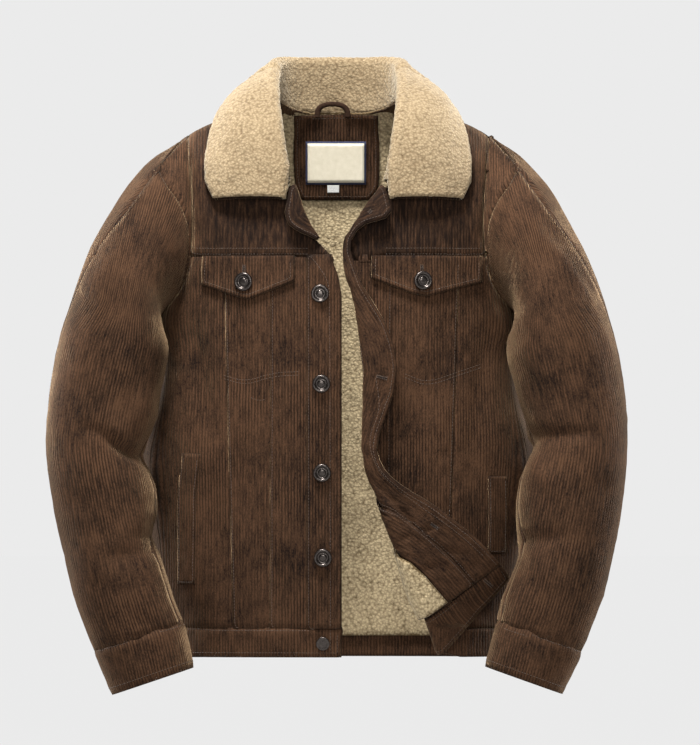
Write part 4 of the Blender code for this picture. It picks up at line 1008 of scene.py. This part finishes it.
def studio_world(floor):
    """The pale room round the stage: dim in front and bright behind, and as pale as the floor to the camera."""
    world = bpy.data.worlds.new("Studio")
    world.use_nodes = True
    tree = world.node_tree
    background = tree.nodes["Background"]
    way = new_node(tree, "ShaderNodeTexCoord").outputs["Generated"]
    behind = new_node(tree, "ShaderNodeSeparateXYZ", [(0, way)]).outputs[1]
    light = scaled(tree, within(tree, scaled(tree, behind, 2.5), 0.0, 1.0), 0.5, 0.2)
    seen = new_node(tree, "ShaderNodeLightPath").outputs["Is Camera Ray"]
    pale = linear(floor)[0]
    strength = scaled(tree, seen, math_node(tree, "SUBTRACT", pale, light), light)
    tree.links.new(strength, background.inputs["Strength"])
    background.inputs["Color"].default_value = (1, 1, 1, 1)
    return world


class JACKET_OT_shell(bpy.types.Operator):
    """Sew the corduroy shell of the body: yokes, panels, plackets, hem bands, flaps and welts"""

    bl_idname = "jacket.shell"
    bl_label = "Shell"

    def execute(self, context):
        return dress_all(context, lambda piece: piece["look"] in CORDUROYS and on_body(piece["node"]))


class JACKET_OT_sleeves(bpy.types.Operator):
    """Sew the sleeves: shoulder wedges, front and back pieces, and cuffs"""

    bl_idname = "jacket.sleeves"
    bl_label = "Sleeves"

    def execute(self, context):
        return dress_all(context, lambda piece: not on_body(piece["node"]))


class JACKET_OT_pile(bpy.types.Operator):
    """Fit the pile collar and the pile linings"""

    bl_idname = "jacket.pile"
    bl_label = "Pile"

    def execute(self, context):
        return dress_all(context, lambda piece: piece["look"] in PILES)


class JACKET_OT_labels(bpy.types.Operator):
    """Sew in the blank neck label and the blank size tab"""

    bl_idname = "jacket.labels"
    bl_label = "Labels"

    def execute(self, context):
        return dress_all(context, lambda piece: piece["look"] in ("label_edge", "label_field", "white_tab"))


class JACKET_OT_hanger_loop(bpy.types.Operator):
    """Make the hanger loop: a narrow corduroy tube, sewn in at both ends"""

    bl_idname = "jacket.hanger_loop"
    bl_label = "Hanger loop"

    def execute(self, context):
        low, high = (np.array(corner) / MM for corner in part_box("hanger_loop"))
        middle = (low[0] + high[0]) / 2
        line = evenly([(middle + x, z) for x, z in HANGER_LOOP], 1.5)
        way = unit(np.gradient(line, axis=0))
        points = []
        around = 14
        for (x, z), (along_x, along_z), arch in zip(line, way, np.sin(np.linspace(0, math.pi, len(line)))):
            # the tube is pinched a little where it bends over
            half, deep = 3.7 - 0.8 * arch, 1.5 + 0.4 * arch
            for turn in np.linspace(0, 2 * math.pi, around, endpoint=False):
                side = half * math.cos(turn)
                points.append((
                    x + along_z * side, low[1] - 0.5 * arch + deep * math.sin(turn), z - along_x * side))
        faces = tube_faces(0, len(line), around)
        obj = add_piece("hanger_loop_tube", points, faces, rubbed_tube())
        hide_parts("hanger_loop")
        return {"FINISHED"}


def cloth_surface():
    """All the corduroy as one surface to lay stitches on."""
    points, faces = [], []
    for piece in PIECES:
        if piece["look"] in CORDUROYS:
            data = bpy.data.objects[f"{piece['node']}_cloth"].data
            start = len(points)
            points += [v.co.copy() for v in data.vertices]
            faces += [[start + i for i in face.vertices] for face in data.polygons]
    return BVHTree.FromPolygons(points, faces)


def evenly(line, step):
    """Points at even steps along a line, its corners cut a little."""
    line = np.array(line, float)
    for _ in range(2):
        if 2 < len(line) < 40:
            cut = np.stack([0.75 * line[:-1] + 0.25 * line[1:], 0.25 * line[:-1] + 0.75 * line[1:]], 1)
            line = np.concatenate([line[:1], cut.reshape(-1, line.shape[1]), line[-1:]])
    run = np.concatenate([[0], np.cumsum(np.linalg.norm(np.diff(line, axis=0), axis=1))])
    places = np.arange(0, run[-1], step)
    return np.stack([np.interp(places, run, axis) for axis in line.T], -1)


def seam_list():
    """The rows of the table, one by one: piece, piece beyond the seam and offset."""
    for name, others, offsets in SEAM_ROWS:
        for side in SIDES if "{}" in name else ("",):
            for other in others:
                for offset in offsets:
                    yield name.format(side), other.format(side), offset


def seam_rows(node, other, offset):
    """Lines on a piece at an even distance from its seam with another piece, or from its free edges."""
    beyond = [other] if other else [name for name in BORDERS if name != node and name not in LYING]
    near = tree_of(np.concatenate([line for name in beyond for line, _, _ in BORDERS[name]]))
    for line, inward, normal in BORDERS[node]:
        apart = np.array([near.find(p)[2] for p in line])
        wanted = apart < 5.5 if other else apart > 4.5
        if node.endswith(("flap", "welt")):
            wanted = line[:, 2] < line[:, 2].max() - 3
        if not wanted.any():
            continue
        start = 0 if wanted.all() else int(np.argmin(wanted))
        order = (np.arange(len(line) + int(wanted.all())) + start) % len(line)
        data = np.concatenate([line, normal, inward], 1)[order]
        keep = wanted[order]
        cuts = np.flatnonzero(np.diff(keep.astype(int))) + 1
        for part, used in zip(np.split(data, cuts), np.split(keep, cuts)):
            if used[0] and len(part) > 8:
                if not wanted.all():
                    part[[0, 1, -2, -1], 6:] = part[[2, 2, -3, -3], 6:]
                part = np.concatenate([part[:, :3] + part[:, 6:] * offset, part[:, 3:6]], 1)
                smooth = part.copy()
                smooth[1:-1] = (part[:-2] + 2 * part[1:-1] + part[2:]) / 4
                yield smooth


def drop(surface, x, z):
    """Where a line of sight from the front meets the cloth, and the normal there."""
    place, normal, _, _ = surface.ray_cast(Vector((x * MM, -1.0, z * MM)), Vector((0, 1, 0)))
    if place is None:
        return None
    return np.array(place) / MM, np.array(normal)


def tube_faces(base, rings, around):
    """The faces of a closed tube whose points, from number base on, go round it ring by ring."""
    last = base + (rings - 1) * around
    faces = []
    for start in range(base, last, around):
        for i in range(around):
            j = (i + 1) % around
            faces.append((start + i, start + j, start + around + j, start + around + i))
    return faces + [tuple(range(base + around - 1, base - 1, -1)), tuple(range(last, last + around))]


def rod(points, faces, start, end, normal, radius, lift):
    """Add a short five-sided stitch, thinner at its ends, that lies on the cloth."""
    side = unit(np.cross(normal, unit(end - start)))
    faces += tube_faces(len(points), 3, 5)
    for share, size, up in ((0.0, 0.4, 0.2), (0.5, 1.0, 1.0), (1.0, 0.4, 0.2)):
        middle = start + (end - start) * share + normal * lift * up
        for turn in np.linspace(0, 2 * np.pi, 5, endpoint=False):
            points.append(middle + (side * np.cos(turn) + normal * np.sin(turn) * 0.7) * radius * size)


def sew(row, step, points, faces):
    """Add the stitches of a row of (point, normal) pairs. Each is three quarters of its step long."""
    for first, second in zip(row[:-1], row[1:]):
        if first is not None and second is not None and np.linalg.norm(second[0] - first[0]) < 2 * step:
            rod(points, faces, first[0], first[0] + (second[0] - first[0]) * 0.76, first[1], 0.36, 0.14)


def add_piece(name, points, faces, look):
    """A finished small piece from points in millimetres."""
    obj = new_object(name, points, faces, outward)
    obj.data.shade_smooth()
    obj.data.materials.append(look)
    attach(obj, "root")
    return obj


class JACKET_OT_stitching(bpy.types.Operator):
    """Sew the rows of topstitching and the buttonholes"""

    bl_idname = "jacket.stitching"
    bl_label = "Stitching"

    def execute(self, context):
        settings = context.scene.jacket_cloth
        surface = cloth_surface()
        look = thread("Brown sewing thread", settings.thread)
        sewn = {"body": ([], []), "back": ([], []), "sleeve": ([], [])}
        for node, other, offset in seam_list():
            part = "sleeve" if node.endswith(("sleeve_back", "wedge", "cuff")) else "body"
            part = "back" if "back_" in node and part == "body" else part
            for line in seam_rows(node, other, offset):
                row = []
                for place in evenly(line, settings.stitch):
                    normal = unit(place[3:])
                    found = surface.find_nearest(Vector((place[:3] + normal * 1.5) * MM))
                    row.append((np.array(found[0]) / MM, normal))
                sew(row, settings.stitch, *sewn[part])
        points, faces = sewn["body"]
        for line in DRAWN_ROWS:
            sew([drop(surface, x, z) for x, z in evenly(line, settings.stitch)], settings.stitch, points, faces)
        slits, slit_faces = [], []
        for x0, z0, x1, z1 in BUTTONHOLES:
            start, end = np.array([x0, z0], float), np.array([x1, z1], float)
            length = np.linalg.norm(end - start)
            way = (end - start) / length
            side = np.array([-way[1], way[0]])
            for share in np.linspace(0, 1, int(length / 0.9)):
                middle = start + (end - start) * share
                for sign in (-1, 1):
                    near = drop(surface, *(middle + side * sign * 0.45))
                    far = drop(surface, *(middle + side * sign * 2.0))
                    if near and far:
                        rod(points, faces, near[0], far[0], near[1], 0.45, 0.3)
            # A dark strip along each buttonhole: painted shade in its slit
            near, far = drop(surface, *start), drop(surface, *end)
            if near and far:
                rod(slits, slit_faces, near[0], far[0], near[1], 0.6, 0.1)
        for part, (points, faces) in sewn.items():
            add_piece(f"{part}_topstitching", points, faces, look)
        add_piece("buttonhole_slit_shade", slits, slit_faces, dark_slit())
        return {"FINISHED"}


def turned_button(name, radius, profile):
    """A button turned from a disc: its rings are extruded from the back to the middle of its face."""
    bpy.ops.object.select_all(action="DESELECT")
    bpy.ops.mesh.primitive_circle_add(vertices=48, radius=radius * profile[0][0] * MM, fill_type="NGON")
    obj = bpy.context.object
    obj.name = name
    bpy.ops.object.mode_set(mode="EDIT")
    bpy.ops.mesh.select_mode(type="FACE")
    bpy.ops.mesh.select_all(action="SELECT")
    before = profile[0]
    for share, height in profile[1:]:
        bpy.ops.mesh.extrude_region_move(TRANSFORM_OT_translate={"value": (0, 0, (height - before[1]) * MM)})
        scale = share / before[0]
        bpy.ops.transform.resize(value=(scale, scale, 1), center_override=(0, 0, height * MM))
        before = (share, height)
    bpy.ops.mesh.select_all(action="SELECT")
    bpy.ops.mesh.normals_make_consistent(inside=False)
    bpy.ops.object.mode_set(mode="OBJECT")
    return obj


class JACKET_OT_buttons(bpy.types.Operator):
    """Turn the buttons and the snap and seat them on their solids"""

    bl_idname = "jacket.buttons"
    bl_label = "Buttons"

    def execute(self, context):
        metal = gunmetal()
        for node, radius, profile in BUTTONS:
            solid = np.array([v.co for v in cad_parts[node].data.vertices])
            middle = (solid.min(0) + solid.max(0)) / 2
            spread = np.linalg.svd(solid - solid.mean(0), full_matrices=False)[2][2]
            out = Vector(spread * (-1 if spread[1] > 0 else 1))
            deep = min((solid - middle) @ np.array(out))
            obj = turned_button(f"{node}_turned", radius, profile)
            turn = out.to_track_quat("Z", "Y").to_matrix().to_4x4()
            place = Matrix.Translation(Vector(middle) + out * deep) @ turn
            obj.data.transform(place)
            obj.data.shade_smooth()
            obj.data.set_sharp_from_angle(angle=math.radians(50))
            obj.data.materials.append(metal)
            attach(obj, "root")
            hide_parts(node)
        return {"FINISHED"}


class JACKET_OT_stage(bpy.types.Operator):
    """Set up the pale floor, the soft lights and the camera"""

    bl_idname = "jacket.stage"
    bl_label = "Stage"

    def execute(self, context):
        stage = context.scene.jacket_stage
        bpy.ops.object.select_all(action="DESELECT")
        bpy.ops.mesh.primitive_plane_add(size=160, location=(0, 0, -0.82))
        floor = context.object
        floor.name = "studio_floor"
        floor.data.materials.append(paper(stage.floor))
        target = Vector((0, -0.05, -0.3))
        # each light's place, width and share of the key's power
        for name, place, size, share in (
                ("key", (-0.4, -0.95, 2.35), 0.8, 1.75), ("front", (0.1, -3.2, 0.9), 1.3, 0.37),
                ("left_edge", (-2.2, 0.9, 0.4), 1.3, 0.75), ("right_edge", (2.2, 0.9, 0.3), 1.3, 0.65)):
            light = bpy.data.lights.new(name, "AREA")
            light.shape = "DISK"
            light.size = size
            light.energy = stage.key * share
            obj = bpy.data.objects.new(name, light)
            obj.location = place
            obj.rotation_euler = (target - Vector(place)).to_track_quat("-Z", "Y").to_euler()
            context.scene.collection.objects.link(obj)
        context.scene.world = studio_world(stage.floor)
        camera = bpy.data.cameras.new("camera")
        camera.sensor_fit = "HORIZONTAL"
        camera.sensor_width = 36
        # the photo is 0.819 m wide where the front of the jacket lies, 0.085 m before its middle
        camera.lens = camera.sensor_width * (stage.distance - 0.085) / 0.819
        camera.clip_end = 60
        eye = bpy.data.objects.new("camera", camera)
        eye.location = (0.014, -stage.distance, -0.3036)
        eye.rotation_euler = (math.pi / 2, 0, 0)
        context.scene.collection.objects.link(eye)
        context.scene.camera = eye
        context.scene.view_settings.view_transform = "Standard"
        return {"FINISHED"}


class JACKET_PT_panel(bpy.types.Panel):
    """Lists the jacket's settings and steps"""

    bl_label = "Corduroy jacket"
    bl_idname = "JACKET_PT_panel"
    bl_space_type = "VIEW_3D"
    bl_region_type = "UI"
    bl_category = "Jacket"

    def draw(self, context):
        layout = self.layout
        for group in (context.scene.jacket_cloth, context.scene.jacket_stage):
            for name in group.bl_rna.properties.keys():
                if name not in ("rna_type", "name"):
                    layout.prop(group, name)
        for step in STEPS:
            layout.operator(step.bl_idname)


STEPS = (
    JACKET_OT_shell, JACKET_OT_sleeves, JACKET_OT_pile, JACKET_OT_labels, JACKET_OT_hanger_loop,
    JACKET_OT_stitching, JACKET_OT_buttons, JACKET_OT_stage)
CLASSES = (JacketCloth, JacketStage, *STEPS, JACKET_PT_panel)


def register():
    for each in CLASSES:
        bpy.utils.register_class(each)
    bpy.types.Scene.jacket_cloth = bpy.props.PointerProperty(type=JacketCloth)
    bpy.types.Scene.jacket_stage = bpy.props.PointerProperty(type=JacketStage)


def unregister():
    del bpy.types.Scene.jacket_cloth
    del bpy.types.Scene.jacket_stage
    for each in reversed(CLASSES):
        bpy.utils.unregister_class(each)


def main():
    register()
    for step in STEPS:
        name = step.bl_idname.split(".")[1]
        getattr(bpy.ops.jacket, name)()


if __name__ == "__main__":
    main()
